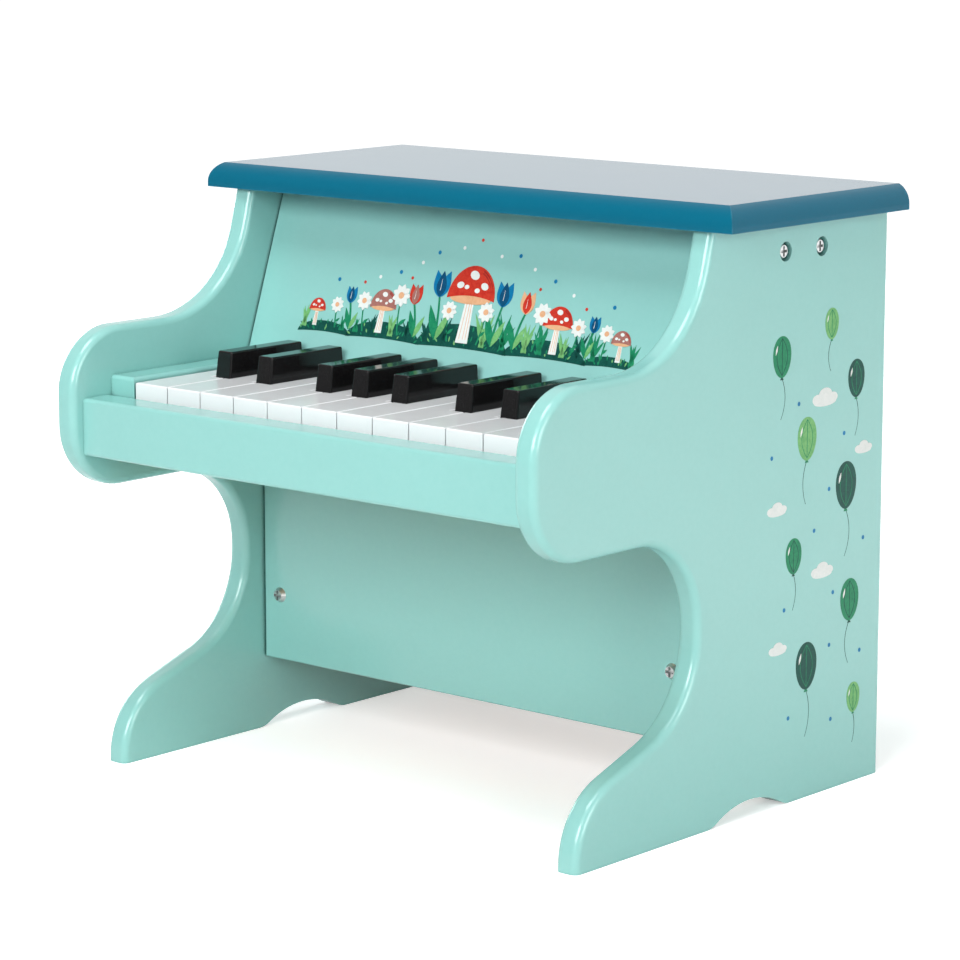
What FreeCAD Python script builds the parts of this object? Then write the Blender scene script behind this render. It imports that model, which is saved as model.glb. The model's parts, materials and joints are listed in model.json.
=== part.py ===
import FreeCAD, Part
import math
import os
import Sketcher

# A toy upright piano of painted board, with eighteen keys that throw hammers at steel tone rods.
# Millimetres. X to the right, Y to the back, Z up. The origin is on the floor, midway along width and depth.

document = FreeCAD.newDocument("toy_piano")
sheet = document.addObject("Spreadsheet::Sheet", "Sizes")

# Driving dimensions, in millimetres, degrees or plain counts.
sizes = {
    # Case
    "side_board": 10.5,
    "panel_edge_round": 3,
    # Lid
    "lid_board": 10.5,
    "lid_overhang": 12.5,         # beyond the side panels
    "lid_front_setback": 103,     # from the cheek fronts
    "lid_rear_setback": 4.5,
    "lid_edge_inset": 5.3,        # moulded edge, measured on the top
    "lid_edge_drop": 8.3,         # moulded edge, measured on the side
    # Side panel outline
    "cheek_drop": 15,             # below the key slip
    "cheek_rise": 22.5,           # above the white keys
    "cheek_round": 27.5,
    "post_height": 51,            # from the arm to the lid
    "post_setback": 106.8,        # front edge of the post at the lid
    "post_lean": 15.1,
    "post_round": 49.6,
    "knee_setback": 100.6,        # deepest place of the knee hollow
    "knee_upper_round": 36.6,
    "knee_straight": 3.4,         # between the upper and the lower round
    "foot_setback": 25.5,
    "foot_slope": 19.15,
    "foot_round": 33,
    "foot_toe": 2,
    "arch_setback": 111.5,
    "arch_length": 49.2,
    "arch_height": 7.1,
    "arch_corner_round": 12,
    # Front panel
    "front_panel_setback": 102.5,   # its lower front edge
    "front_panel_lean": 18.8,
    "front_panel_board": 6,
    "front_panel_side_gap": 0.8,
    "front_panel_foot_gap": 0.3,    # above the key blocks
    # Key slip, key bed and key blocks
    "slip_setback": 5.9,
    "slip_board": 15,
    "slip_bottom": 137,
    "slip_edge_round": 1.5,
    "bed_board": 9,
    "block_width": 13.7,
    "block_rise": 1.8,              # above the white keys
    "block_gap": 0.7,               # beside the outer keys
    "block_edge_round": 1.6,
    "block_cover": 8,               # length that lies under the front panel
    # White keys
    "white_pitch": 19.2,
    "white_count": 11,
    "key_gap": 0.6,
    "white_rise": 6.3,              # above the key slip
    "white_front_gap": 1.3,         # behind the key slip
    "white_plate": 2.2,
    "white_skirt": 12,
    "white_wall": 1.5,
    "white_web": 3,
    "white_web_lap": 4,
    "white_head": 33.8,             # part of full width, in front of the black keys
    "white_cover": 5.5,             # length that lies under the front panel
    "white_edge_round": 0.7,
    # Black keys
    "black_width": 9.4,
    "black_crown": 8.2,             # width of the top
    "black_rise": 10.8,             # above the white keys
    "black_skirt": 5,               # depth below the white tops
    "black_front_lean": 2.2,
    "black_rear_lean": 0.6,
    "black_rear_gap": 1.1,          # in front of the front panel
    "black_edge_round": 0.8,
    # Key levers, axle and frame
    "pivot_setback": 71.8,          # from the fronts of the white keys
    "pivot_drop": 10.5,             # below the white tops
    "lever_width": 7,
    "lever_room": 2.5,              # above the key frame's base
    "lever_lead": 14,               # in front of the pivot
    "tail_length": 64,              # behind the pivot
    "key_turn": 4.8,
    "axle_radius": 1.5,
    "axle_clearance": 0.05,
    "axle_end_gap": 0.5,
    "frame_base": 2.5,
    "frame_lap": 6,                 # base plate beyond the fins
    "fin_depth": 8,
    "fin_rise": 4,                  # above the axle
    "fin_clearance": 0.4,
    # Felts
    "front_felt": 3.2,
    "felt_width": 12,
    "felt_inset": 4,
    "felt_gap": 0.3,
    # Hammers
    "hammer_ratio": 4.3,
    "butt_reach": 14,
    "butt_overrun": 3,
    "butt_gap": 0.3,
    "butt_height": 4,
    "butt_tip": 2.4,
    "hammer_width": 5,
    "hub_radius": 4.5,
    "shank_width": 4,
    "hammer_lean": 18,
    "head_radius": 4.5,
    # Tone rail, block and rods
    "rail_lead": 12.2,              # centre line of the rail in front of the rods
    "rail_depth": 48,
    "rail_height": 16,
    "rail_drop": 12.2,              # centre line of the rail below the lid
    "tone_block_depth": 16,
    "tone_block_height": 12,
    "tone_block_margin": 7,
    "rod_radius": 1.5,
    "rod_seat": 8,
    "rod_clearance": 0.02,
    "rod_longest": 140,
    "strike_gap": 0.4,
    "strike_drop": 9.2,             # below the tone block
    "octave_steps": 12,
    # Kick board, back panel, bottom board and cleats
    "kick_setback": 111.3,
    "kick_thickness": 6,
    "kick_bottom": 32.5,
    "kick_side_gap": 0.8,
    "kick_edge_round": 1,
    "kick_screw_inset": 10.4,
    "kick_screw_rise": 29.2,        # above the lower edge
    "rear_room": 29.2,              # between tone rail and back panel
    "back_setback": 4,
    "back_board": 3,
    "back_edge_gap": 0.2,
    "bottom_board": 3,
    "cleat_width": 20,
    "cleat_depth": 12,
    "cleat_end_gap": 8,
    # Screws and dowels
    "side_screw_spacing": 24.7,
    "side_head_radius": 3.6,
    "side_head_height": 2.2,
    "side_shank_radius": 2,
    "side_shank_length": 30,
    "side_recess_depth": 3.2,
    "side_recess_clearance": 0.4,
    "board_head_radius": 3.4,
    "board_head_height": 1.8,
    "board_shank_radius": 1.6,
    "board_shank_length": 14,
    "board_screw_sink": 6,          # in the tone block
    "back_screw_inset": 8,
    "frame_head_radius": 2.4,
    "frame_head_height": 1.6,
    "frame_shank_radius": 1.4,
    "frame_shank_length": 8,
    "frame_screw_spacing": 120,
    "cross_width": 1.1,
    "cross_depth": 1.1,
    "cross_length": 4.2,
    "screw_clearance": 0.1,
    "dowel_radius": 3,
    "dowel_length": 20,
    "dowel_short_end": 7.5,         # in the thinner grip
    "dowel_inset": 25,
    "dowel_clearance": 0.05,
    "dowel_end_gap": 0.3,
    # Cutting
    "overrun": 2,
}

# Black keys: the white key before each, and its shift from the joint there as a share of the white pitch.
black_after = [1, 2, 4, 5, 6, 8, 9]
black_shift_shares = [-0.12, 0.12, -0.1, -0.05, 0.09, -0.12, 0.12]
# Back panel screws: heights as shares of the height of the panel.
back_screw_shares = [0.1, 0.5, 0.9]

for row, (alias, number) in enumerate(sizes.items(), start=1):
    sheet.set("A%d" % row, alias)
    sheet.set("B%d" % row, str(number))
    sheet.setAlias("B%d" % row, alias)
document.recompute()


class Size:
    """A size with its number and with the sheet formula that gives it."""

    def __init__(self, number, formula):
        self.number = number
        self.formula = formula

    def joined(self, sign, other, number):
        return Size(number, "(%s %s %s)" % (self.formula, sign, as_size(other).formula))

    def __add__(self, other):
        return self.joined("+", other, self.number + as_size(other).number)

    def __sub__(self, other):
        return self.joined("-", other, self.number - as_size(other).number)

    def __mul__(self, other):
        return self.joined("*", other, self.number * as_size(other).number)

    def __truediv__(self, other):
        return self.joined("/", other, self.number / as_size(other).number)

    def __neg__(self):
        return Size(-self.number, "(0 - %s)" % self.formula)


def as_size(value):
    if isinstance(value, Size):
        return value
    return Size(float(value), repr(float(value)))


def sine(angle):
    return Size(math.sin(math.radians(angle.number)), "sin(%s)" % angle.formula)


def cosine(angle):
    return Size(math.cos(math.radians(angle.number)), "cos(%s)" % angle.formula)


def tangent(angle):
    return Size(math.tan(math.radians(angle.number)), "tan(%s)" % angle.formula)


class Sheet:
    """Every cell of the sheet as a size."""


s = Sheet()
for alias in sizes:
    setattr(s, alias, Size(float(sheet.get(alias)), "Sizes." + alias))

zero = as_size(0)
nearness = 0.0001
nodes = []


def vector(u, v, w=zero):
    return FreeCAD.Vector(u.number, v.number, w.number)


def bind(item, setting, size):
    item.setExpression(setting, as_size(size).formula)


def place(item, x, y, z):
    bind(item, "Placement.Base.x", x)
    bind(item, "Placement.Base.y", y)
    bind(item, "Placement.Base.z", z)


def node(item, name):
    item.Label = name
    nodes.append(item)
    return item


# Sketches and features of one body

def new_body(name):
    return document.addObject("PartDesign::Body", name)


def new_sketch(body, plane, offset):
    sketch = body.newObject("Sketcher::SketchObject", body.Name + "_sketch")
    support = [item for item in body.Origin.OriginFeatures if item.Role == plane][0]
    sketch.AttachmentSupport = [(support, "")]
    sketch.MapMode = "FlatFace"
    bind(sketch, "AttachmentOffset.Base.z", offset)
    return sketch


def fix_number(sketch, kind, first, second, size):
    index = sketch.addConstraint(Sketcher.Constraint(kind, first, second, size.number))
    bind(sketch, "Constraints[%d]" % index, size)


def fix_radius(sketch, curve, size):
    index = sketch.addConstraint(Sketcher.Constraint("Radius", curve, size.number))
    bind(sketch, "Constraints[%d]" % index, size)


def add_line(sketch, start, end):
    """A straight stretch: its number in the sketch, and which of its ends begins and ends it."""
    return sketch.addGeometry(Part.LineSegment(vector(*start), vector(*end)), False), 1, 2


def add_arc(sketch, start, middle, end):
    """A round stretch. A clockwise one is kept with its ends swapped."""
    first = vector(*middle) - vector(*start)
    second = vector(*end) - vector(*middle)
    curve = sketch.addGeometry(Part.Arc(vector(*start), vector(*middle), vector(*end)), False)
    if first.x * second.y > first.y * second.x:
        return curve, 1, 2
    return curve, 2, 1


def draw_corners(sketch, corners):
    count = len(corners)
    first = sketch.GeometryCount
    for index in range(count):
        add_line(sketch, corners[index], corners[(index + 1) % count])
    for index in range(count):
        following = first + (index + 1) % count
        sketch.addConstraint(Sketcher.Constraint("Coincident", first + index, 2, following, 1))
    for index, (u, v) in enumerate(corners):
        fix_number(sketch, "DistanceX", first + index, 1, as_size(u))
        fix_number(sketch, "DistanceY", first + index, 1, as_size(v))


def draw_box(sketch, low, high):
    draw_corners(sketch, [low, (high[0], low[1]), high, (low[0], high[1])])


def draw_circle(sketch, u, v, radius):
    circle = sketch.addGeometry(Part.Circle(vector(u, v), FreeCAD.Vector(0, 0, 1), radius.number), False)
    fix_number(sketch, "DistanceX", circle, 3, u)
    fix_number(sketch, "DistanceY", circle, 3, v)
    fix_radius(sketch, circle, radius)


def pad(body, sketch, length):
    feature = body.newObject("PartDesign::Pad", body.Name + "_pad")
    feature.Profile = sketch
    bind(feature, "Length", length)
    return feature


def pocket(body, sketch, depth, along_normal):
    before = volume_of(body)
    feature = body.newObject("PartDesign::Pocket", body.Name + "_pocket")
    feature.Profile = sketch
    feature.Reversed = along_normal
    bind(feature, "Length", depth)
    if volume_of(body) >= before:
        raise RuntimeError("a cut of %s removes nothing" % body.Name)
    return feature


def volume_of(body):
    document.recompute()
    return body.Shape.Volume


def drill(body, plane, offset, centres, radius, depth, along_normal):
    sketch = new_sketch(body, plane, offset)
    for u, v in centres:
        draw_circle(sketch, u, v, radius)
    return pocket(body, sketch, depth, along_normal)


def round_edges(body, base, radius, wanted):
    document.recompute()
    names = ["Edge%d" % (index + 1) for index, edge in enumerate(base.Shape.Edges) if wanted(edge.BoundBox)]
    feature = body.newObject("PartDesign::Fillet", body.Name + "_round")
    feature.Base = (base, names)
    bind(feature, "Radius", radius)
    return feature


def same(a, b):
    return math.isclose(a, b, abs_tol=nearness)


def at_height(box, level):
    return same(box.ZMin, level.number) and same(box.ZMax, level.number)


# Primitives and booleans

def new_box(name, low, high):
    box = document.addObject("Part::Box", name)
    bind(box, "Length", high[0] - low[0])
    bind(box, "Width", high[1] - low[1])
    bind(box, "Height", high[2] - low[2])
    place(box, *low)
    return box


turns = {
    "+X": FreeCAD.Rotation(FreeCAD.Vector(0, 1, 0), 90),
    "-X": FreeCAD.Rotation(FreeCAD.Vector(0, 1, 0), -90),
    "+Y": FreeCAD.Rotation(FreeCAD.Vector(1, 0, 0), -90),
    "-Y": FreeCAD.Rotation(FreeCAD.Vector(1, 0, 0), 90),
    "+Z": FreeCAD.Rotation(),
    "-Z": FreeCAD.Rotation(FreeCAD.Vector(1, 0, 0), 180),
}
steps = {
    "+X": (1, 0, 0),
    "-X": (-1, 0, 0),
    "+Y": (0, 1, 0),
    "-Y": (0, -1, 0),
    "+Z": (0, 0, 1),
    "-Z": (0, 0, -1),
}


def moved(point, direction, distance):
    return [place + distance * step for place, step in zip(point, steps[direction])]


def new_cylinder(name, start, direction, radius, length):
    cylinder = document.addObject("Part::Cylinder", name)
    cylinder.Placement.Rotation = turns[direction]
    bind(cylinder, "Radius", radius)
    bind(cylinder, "Height", length)
    place(cylinder, *start)
    return cylinder


def cut(name, base, tools):
    tool = tools[0]
    if len(tools) > 1:
        tool = document.addObject("Part::MultiFuse", name + "_holes")
        tool.Shapes = tools
    result = document.addObject("Part::Cut", name)
    result.Base = base
    result.Tool = tool
    return result


def fuse(name, pieces):
    result = document.addObject("Part::MultiFuse", name)
    result.Shapes = pieces
    return result


def group(name, pieces):
    result = document.addObject("Part::Compound", name)
    result.Links = pieces
    return result


def screw(name, seat, direction, head_radius, head_height, shank_radius, shank_length):
    """A cross-head screw: its head stands on the seat, and direction points the way that the shank goes."""
    outward = {"+": "-", "-": "+"}[direction[0]] + direction[1]
    head = document.addObject("Part::Cone", name + "_head")
    head.Placement.Rotation = turns[outward]
    bind(head, "Radius1", head_radius)
    bind(head, "Radius2", head_radius - s.cross_width)
    bind(head, "Height", head_height)
    place(head, *seat)
    shank = new_cylinder(name + "_shank", seat, direction, shank_radius, shank_length)
    crown = moved(seat, outward, head_height - s.cross_depth)
    slots = []
    for long_side, short_side in ((s.cross_length, s.cross_width), (s.cross_width, s.cross_length)):
        slot = document.addObject("Part::Box", name + "_slot")
        slot.Placement.Rotation = turns[outward]
        bind(slot, "Length", long_side)
        bind(slot, "Width", short_side)
        bind(slot, "Height", s.cross_depth + s.overrun)
        place(slot, *slot_corner(crown, outward, long_side, short_side))
        slots.append(slot)
    return cut(name, fuse(name + "_blank", [head, shank]), slots)


def slot_corner(crown, outward, long_side, short_side):
    along = turns[outward].multVec(FreeCAD.Vector(1, 0, 0))
    across = turns[outward].multVec(FreeCAD.Vector(0, 1, 0))
    corner = []
    for place_now, first, second in zip(crown, along, across):
        corner.append(place_now - long_side / 2 * round(first) - short_side / 2 * round(second))
    return corner


# Shared places

# Across the case, from the keyboard outwards
keys_half = s.white_pitch * s.white_count / 2
block_face = keys_half + s.block_gap
inner = block_face + s.block_width
outer = inner + s.side_board
panel_middle = inner + s.side_board / 2
lid_half = outer + s.lid_overhang

# Upwards, from the key bed to the lid
bed_top = s.slip_bottom + s.bed_board
key_dip = sine(s.key_turn) * s.pivot_setback
skirt_bottom = bed_top + s.front_felt + s.felt_gap + key_dip
white_top = skirt_bottom + s.white_skirt
slip_top = white_top - s.white_rise
plate_underside = white_top - s.white_plate
pivot_z = white_top - s.pivot_drop
lever_bottom = bed_top + s.frame_base + s.lever_room
black_foot = white_top - s.black_skirt
black_top = white_top + s.black_rise
block_top = white_top + s.block_rise
panel_bottom = block_top + s.front_panel_foot_gap
hammer_z = plate_underside + s.butt_gap
arm_underside = s.slip_bottom - s.cheek_drop
arm_top = white_top + s.cheek_rise
lid_underside = arm_top + s.post_height
lid_top = lid_underside + s.lid_board
rail_level = lid_underside - s.rail_drop
rail_bottom = rail_level - s.rail_height / 2
tone_block_bottom = rail_bottom - s.tone_block_height
bed_middle = s.slip_bottom + s.bed_board / 2

# Backwards, from the key fronts to the back panel, which sets the depth of the case
strike_lean = s.key_turn * s.hammer_ratio - s.hammer_lean
hammer_length = (tone_block_bottom - s.strike_drop - hammer_z) / cosine(strike_lean)
hammer_reach = sine(strike_lean) * hammer_length + s.head_radius + s.strike_gap + s.rod_radius
keys_setback = s.slip_setback + s.slip_board + s.white_front_gap
rods_setback = keys_setback + s.pivot_setback + s.tail_length + s.butt_reach + hammer_reach
rail_setback = rods_setback - s.rail_lead
case_depth = rail_setback + s.rail_depth / 2 + s.rear_room + s.back_board + s.back_setback
front = -case_depth / 2
rear = case_depth / 2
lid_front = front + s.lid_front_setback
lid_rear = rear - s.lid_rear_setback
slip_front = front + s.slip_setback
slip_rear = slip_front + s.slip_board
panel_foot = front + s.front_panel_setback
key_front = front + keys_setback
black_front = key_front + s.white_head
notch = black_front - s.key_gap
plate_rear = panel_foot + s.white_cover
pivot_y = key_front + s.pivot_setback
lever_front = pivot_y - s.lever_lead
tail_end = pivot_y + s.tail_length
bore_radius = s.axle_radius + s.axle_clearance
axle_end = block_face - s.axle_end_gap
hammer_y = tail_end + s.butt_reach
hammer_fin_rear = hammer_y + s.hub_radius
bed_rear = hammer_fin_rear
rod_y = front + rods_setback
rail_y = front + rail_setback
kick_front = front + s.kick_setback
kick_rear = kick_front + s.kick_thickness
back_rear = rear - s.back_setback
back_front = back_rear - s.back_board
bottom_top = s.kick_bottom + s.bottom_board
side_screw_places = [rail_y - s.side_screw_spacing / 2, rail_y + s.side_screw_spacing / 2]
lid_dowel_places = [lid_front + s.dowel_inset, lid_rear - s.dowel_inset]
bed_dowel_places = [slip_rear + s.dowel_inset, bed_rear - s.dowel_inset]
dowel_long_end = s.dowel_length - s.dowel_short_end
dowel_hole = s.dowel_radius + s.dowel_clearance
side_recess = s.side_head_radius + s.side_recess_clearance
side_hole = s.side_shank_radius + s.screw_clearance
board_hole = s.board_shank_radius + s.screw_clearance
frame_hole = s.frame_shank_radius + s.screw_clearance


# Where each key lies: its narrow part between the black keys, and the lever under the middle of that

def black_place(index):
    joint = s.white_pitch * black_after[index] - keys_half
    return joint + s.white_pitch * black_shift_shares[index]


def narrow_edges(white):
    low = s.white_pitch * white - keys_half + s.key_gap / 2
    high = s.white_pitch * (white + 1) - keys_half - s.key_gap / 2
    for index, after in enumerate(black_after):
        if after == white:
            low = black_place(index) + s.black_width / 2 + s.key_gap
        if after == white + 1:
            high = black_place(index) - s.black_width / 2 - s.key_gap
    return low, high


def white_lever(white):
    low, high = narrow_edges(white)
    return (low + high) / 2


def lever_places():
    places = []
    for white in range(sizes["white_count"]):
        places.append(white_lever(white))
        if white + 1 in black_after:
            places.append(black_place(black_after.index(white + 1)))
    return places


levers = lever_places()


# Side panels

def panel_outline(sketch):
    """Post, arm, cheek, knee, foot and foot arch, seen from the side."""
    foot_front = front + s.foot_setback
    knee = front + s.knee_setback
    post_top = front + s.post_setback
    arch_start = front + s.arch_setback
    arch_end = arch_start + s.arch_length
    arch_middle = arch_start + s.arch_length / 2
    arch_round = (s.arch_length * s.arch_length / 4 + s.arch_height * s.arch_height) / (s.arch_height * 2)
    # The slope from knee to foot touches the foot round, and the lower knee round that this leaves room for.
    knee_level = arm_underside - s.knee_upper_round - s.knee_straight
    fall = cosine(s.foot_slope) * (knee_level - s.foot_toe) - sine(s.foot_slope) * (knee - foot_front)
    knee_lower_round = fall / (as_size(1) - sine(s.foot_slope)) - s.foot_round
    knee_y = (knee - knee_lower_round).number
    foot_y = (foot_front + s.foot_round).number
    slope = math.radians(s.foot_slope.number)
    # The post round touches the arm and the leaning post.
    lean = math.radians(s.post_lean.number)
    rise = (lid_underside - arm_top).number
    post_round = s.post_round.number
    run = (rise * math.sin(lean) - post_round * math.sin(lean) + post_round) / math.cos(lean)
    post_y = post_top.number - run
    post_z = arm_top.number + post_round

    def on_round(y, z, radius, angle):
        return as_size(y + radius * math.cos(angle)), as_size(z + radius * math.sin(angle))

    def turned(y, z, radius, start, end):
        return [on_round(y, z, radius, angle) for angle in (start, (start + end) / 2, end)]

    right = 0.0
    down = -math.pi / 2
    up = math.pi / 2
    left = math.pi
    cheek = s.cheek_round.number
    cheek_y = front.number + cheek
    upper = s.knee_upper_round.number
    lower = knee_lower_round.number
    toe = turned(foot_y, s.foot_toe.number, s.foot_round.number, left, up + slope)
    knee_low = turned(knee_y, knee_level.number, lower, down + slope, right)
    knee_high = turned(knee.number - upper, arm_underside.number - upper, upper, right, up)
    cheek_low = turned(cheek_y, arm_underside.number + cheek, cheek, -up, -left)
    cheek_high = turned(cheek_y, arm_top.number - cheek, cheek, left, up)
    post = turned(post_y, post_z, post_round, down, -lean)
    path = {
        "rear foot": [(rear, zero), (arch_end, zero)],
        "arch": [(arch_end, zero), (arch_middle, s.arch_height), (arch_start, zero)],
        "front foot": [(arch_start, zero), (foot_front, zero)],
        "toe": [(foot_front, zero), toe[0]],
        "foot round": toe,
        "foot slope": [toe[2], knee_low[0]],
        "lower knee": knee_low,
        "knee": [knee_low[2], knee_high[0]],
        "upper knee": knee_high,
        "arm underside": [knee_high[2], cheek_low[0]],
        "lower cheek": cheek_low,
        "cheek": [cheek_low[2], cheek_high[0]],
        "upper cheek": cheek_high,
        "arm": [cheek_high[2], post[0]],
        "post round": post,
        "post": [post[2], (post_top, lid_underside)],
        "lid seat": [(post_top, lid_underside), (rear, lid_underside)],
        "rear": [(rear, lid_underside), (rear, zero)],
    }
    stretches = {}
    for part, points in path.items():
        stretches[part] = add_line(sketch, *points) if len(points) == 2 else add_arc(sketch, *points)
    rounds = {"foot round": s.foot_round, "lower knee": knee_lower_round, "upper knee": s.knee_upper_round,
              "lower cheek": s.cheek_round, "upper cheek": s.cheek_round, "post round": s.post_round}
    tie_panel(sketch, stretches, rounds)
    fix_radius(sketch, stretches["arch"][0], arch_round)
    for part, size in rounds.items():
        fix_radius(sketch, stretches[part][0], size)
    across = {"rear foot": rear, "arch": arch_end, "front foot": arch_start, "toe": foot_front, "knee": knee,
              "cheek": front, "lid seat": post_top}
    for part, size in across.items():
        fix_number(sketch, "DistanceX", *stretches[part][:2], size)
    levels = {"rear foot": zero, "front foot": zero, "foot round": s.foot_toe, "knee": knee_level,
              "arm underside": arm_underside, "arm": arm_top, "lid seat": lid_underside}
    for part, size in levels.items():
        fix_number(sketch, "DistanceY", *stretches[part][:2], size)
    lean_index = sketch.addConstraint(Sketcher.Constraint("Angle", stretches["post"][0], math.pi / 2 - lean))
    sketch.setExpression("Constraints[%d]" % lean_index, "90 deg - %s * 1 deg" % s.post_lean.formula)


def tie_panel(sketch, stretches, rounds):
    for part in ("rear foot", "front foot", "arm underside", "arm", "lid seat"):
        sketch.addConstraint(Sketcher.Constraint("Horizontal", stretches[part][0]))
    for part in ("toe", "knee", "cheek", "rear"):
        sketch.addConstraint(Sketcher.Constraint("Vertical", stretches[part][0]))
    parts = list(stretches)
    for part, following in zip(parts, parts[1:] + parts[:1]):
        curve, begin, end = stretches[part]
        kind = "Tangent" if part in rounds or following in rounds else "Coincident"
        sketch.addConstraint(Sketcher.Constraint(kind, curve, end, *stretches[following][:2]))


def side_panel(name, side):
    body = new_body(name)
    inside = inner * side
    outside = outer * side
    low = inner if side > 0 else -outer
    sketch = new_sketch(body, "YZ_Plane", low)
    panel_outline(sketch)
    board = pad(body, sketch, s.side_board)
    arch_ends = [(front + s.arch_setback).number, (front + s.arch_setback + s.arch_length).number]
    arch = round_edges(body, board, s.arch_corner_round,
                       lambda box: at_height(box, zero) and same(box.YLength, 0)
                       and any(same(box.YMin, end) for end in arch_ends))
    round_edges(body, arch, s.panel_edge_round, on_panel_edge)
    drill(body, "YZ_Plane", outside, [(y, rail_level) for y in side_screw_places],
          side_recess, s.side_recess_depth, side < 0)
    drill(body, "YZ_Plane", outside, [(y, rail_level) for y in side_screw_places],
          side_hole, s.side_board + s.overrun, side < 0)
    drill(body, "XY_Plane", lid_underside, [(panel_middle * side, y) for y in lid_dowel_places],
          dowel_hole, dowel_long_end + s.dowel_end_gap, False)
    drill(body, "YZ_Plane", inside, [(y, bed_middle) for y in bed_dowel_places],
          dowel_hole, s.dowel_short_end + s.dowel_end_gap, side > 0)
    return node(body, name)


def on_panel_edge(box):
    flat = same(box.XLength, 0)
    on_floor = same(box.ZMin, 0) and box.YLength > s.foot_toe.number
    under_lid = same(box.ZMin, lid_underside.number)
    in_foot = box.ZMax < s.arch_height.number + s.foot_toe.number
    in_arch = in_foot and box.YMin > (front + s.knee_setback).number
    return flat and not on_floor and not under_lid and not in_arch


# Lid

def lid():
    body = new_body("lid")
    sketch = new_sketch(body, "XY_Plane", lid_underside)
    draw_box(sketch, (-lid_half, lid_front), (lid_half, lid_rear))
    pad(body, sketch, s.lid_board)
    edge = new_sketch(body, "YZ_Plane", -lid_half - s.overrun)
    draw_edge_waste(edge, lid_front, 1)
    pocket(body, edge, (lid_half + s.overrun) * 2, True)
    for side in (-1, 1):
        edge = new_sketch(body, "XZ_Plane", -lid_front + s.overrun)
        draw_edge_waste(edge, lid_half * side, -side)
        pocket(body, edge, lid_rear - lid_front + s.overrun * 2, False)
    dowel_spots = [(panel_middle * side, y) for side in (-1, 1) for y in lid_dowel_places]
    drill(body, "XY_Plane", lid_underside, dowel_spots, dowel_hole, s.dowel_short_end + s.dowel_end_gap, True)
    return node(body, "lid")


def draw_edge_waste(sketch, edge, inward):
    """The corner that the moulded edge loses: square outside, round on the board's side."""
    inset = s.lid_edge_inset
    drop = s.lid_edge_drop
    radius = (inset * inset + drop * drop) / (inset * 2)
    low = (edge, lid_top - drop)
    high = (edge + inset * inward, lid_top)
    beyond = edge - s.overrun * inward
    above = lid_top + s.overrun
    angle = math.atan2(drop.number, (radius - inset).number) / 2
    middle = (edge + radius * (1 - math.cos(angle)) * inward, low[1] + radius * math.sin(angle))
    corners = [low, (beyond, low[1]), (beyond, above), (high[0], above), high]
    for start, end in zip(corners, corners[1:]):
        add_line(sketch, start, end)
    arc, begin, end = add_arc(sketch, high, middle, low)
    for index in range(len(corners) - 2):
        sketch.addConstraint(Sketcher.Constraint("Coincident", index, 2, index + 1, 1))
    sketch.addConstraint(Sketcher.Constraint("Coincident", arc - 1, 2, arc, begin))
    sketch.addConstraint(Sketcher.Constraint("Coincident", 0, 1, arc, end))
    for index, (u, v) in enumerate(corners[:-1]):
        fix_number(sketch, "DistanceX", index, 1, u)
        fix_number(sketch, "DistanceY", index, 1, v)
    fix_number(sketch, "DistanceX", arc - 1, 2, high[0])
    fix_number(sketch, "DistanceY", arc - 1, 2, high[1])
    fix_radius(sketch, arc, radius)


# Boards of the case

def front_panel():
    body = new_body("front_panel")
    half = inner - s.front_panel_side_gap
    lean = tangent(s.front_panel_lean)
    across = s.front_panel_board / cosine(s.front_panel_lean)
    top = panel_foot + lean * (lid_underside - panel_bottom)
    sketch = new_sketch(body, "YZ_Plane", -half)
    draw_corners(sketch, [(panel_foot, panel_bottom), (panel_foot + across, panel_bottom),
                          (top + across, lid_underside), (top, lid_underside)])
    pad(body, sketch, half * 2)
    return node(body, "front_panel")


def key_slip():
    body = new_body("key_slip")
    sketch = new_sketch(body, "XY_Plane", s.slip_bottom)
    draw_box(sketch, (-inner, slip_front), (inner, slip_rear))
    rail = pad(body, sketch, slip_top - s.slip_bottom)
    round_edges(body, rail, s.slip_edge_round,
                lambda box: same(box.YLength, 0) and same(box.ZLength, 0)
                and (same(box.YMin, slip_front.number) or at_height(box, slip_top)))
    return node(body, "key_slip")


def key_block(name, side):
    body = new_body(name)
    low = block_face if side > 0 else -inner
    high = inner if side > 0 else -block_face
    sketch = new_sketch(body, "XY_Plane", bed_top)
    draw_box(sketch, (low, key_front), (high, panel_foot + s.block_cover))
    block = pad(body, sketch, block_top - bed_top)

    def shown(box):
        beside_keys = same(box.XLength, 0) and same(box.XMin, (block_face * side).number)
        return at_height(box, block_top) and (same(box.YMax, key_front.number) or beside_keys)

    round_edges(body, block, s.block_edge_round, shown)
    return node(body, name)


def key_bed():
    board = new_box("key_bed_board", (-inner, slip_rear, s.slip_bottom), (inner, bed_rear, bed_top))
    holes = []
    for direction, end in (("+X", -inner), ("-X", inner)):
        for y in bed_dowel_places:
            depth = dowel_long_end + s.dowel_end_gap
            holes.append(new_cylinder("key_bed_hole", (end, y, bed_middle), direction, dowel_hole, depth))
    for x, y in frame_screw_places():
        holes.append(new_cylinder("key_bed_hole", (x, y, bed_top), "-Z", frame_hole, s.frame_shank_length))
    return node(cut("key_bed", board, holes), "key_bed")


def frame_screw_places():
    rows = (pivot_y + s.fin_depth / 2 + s.frame_lap / 2, hammer_y - s.hub_radius - s.frame_lap / 2)
    return [(s.frame_screw_spacing / 2 * side, y) for y in rows for side in (-1, 1)]


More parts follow.
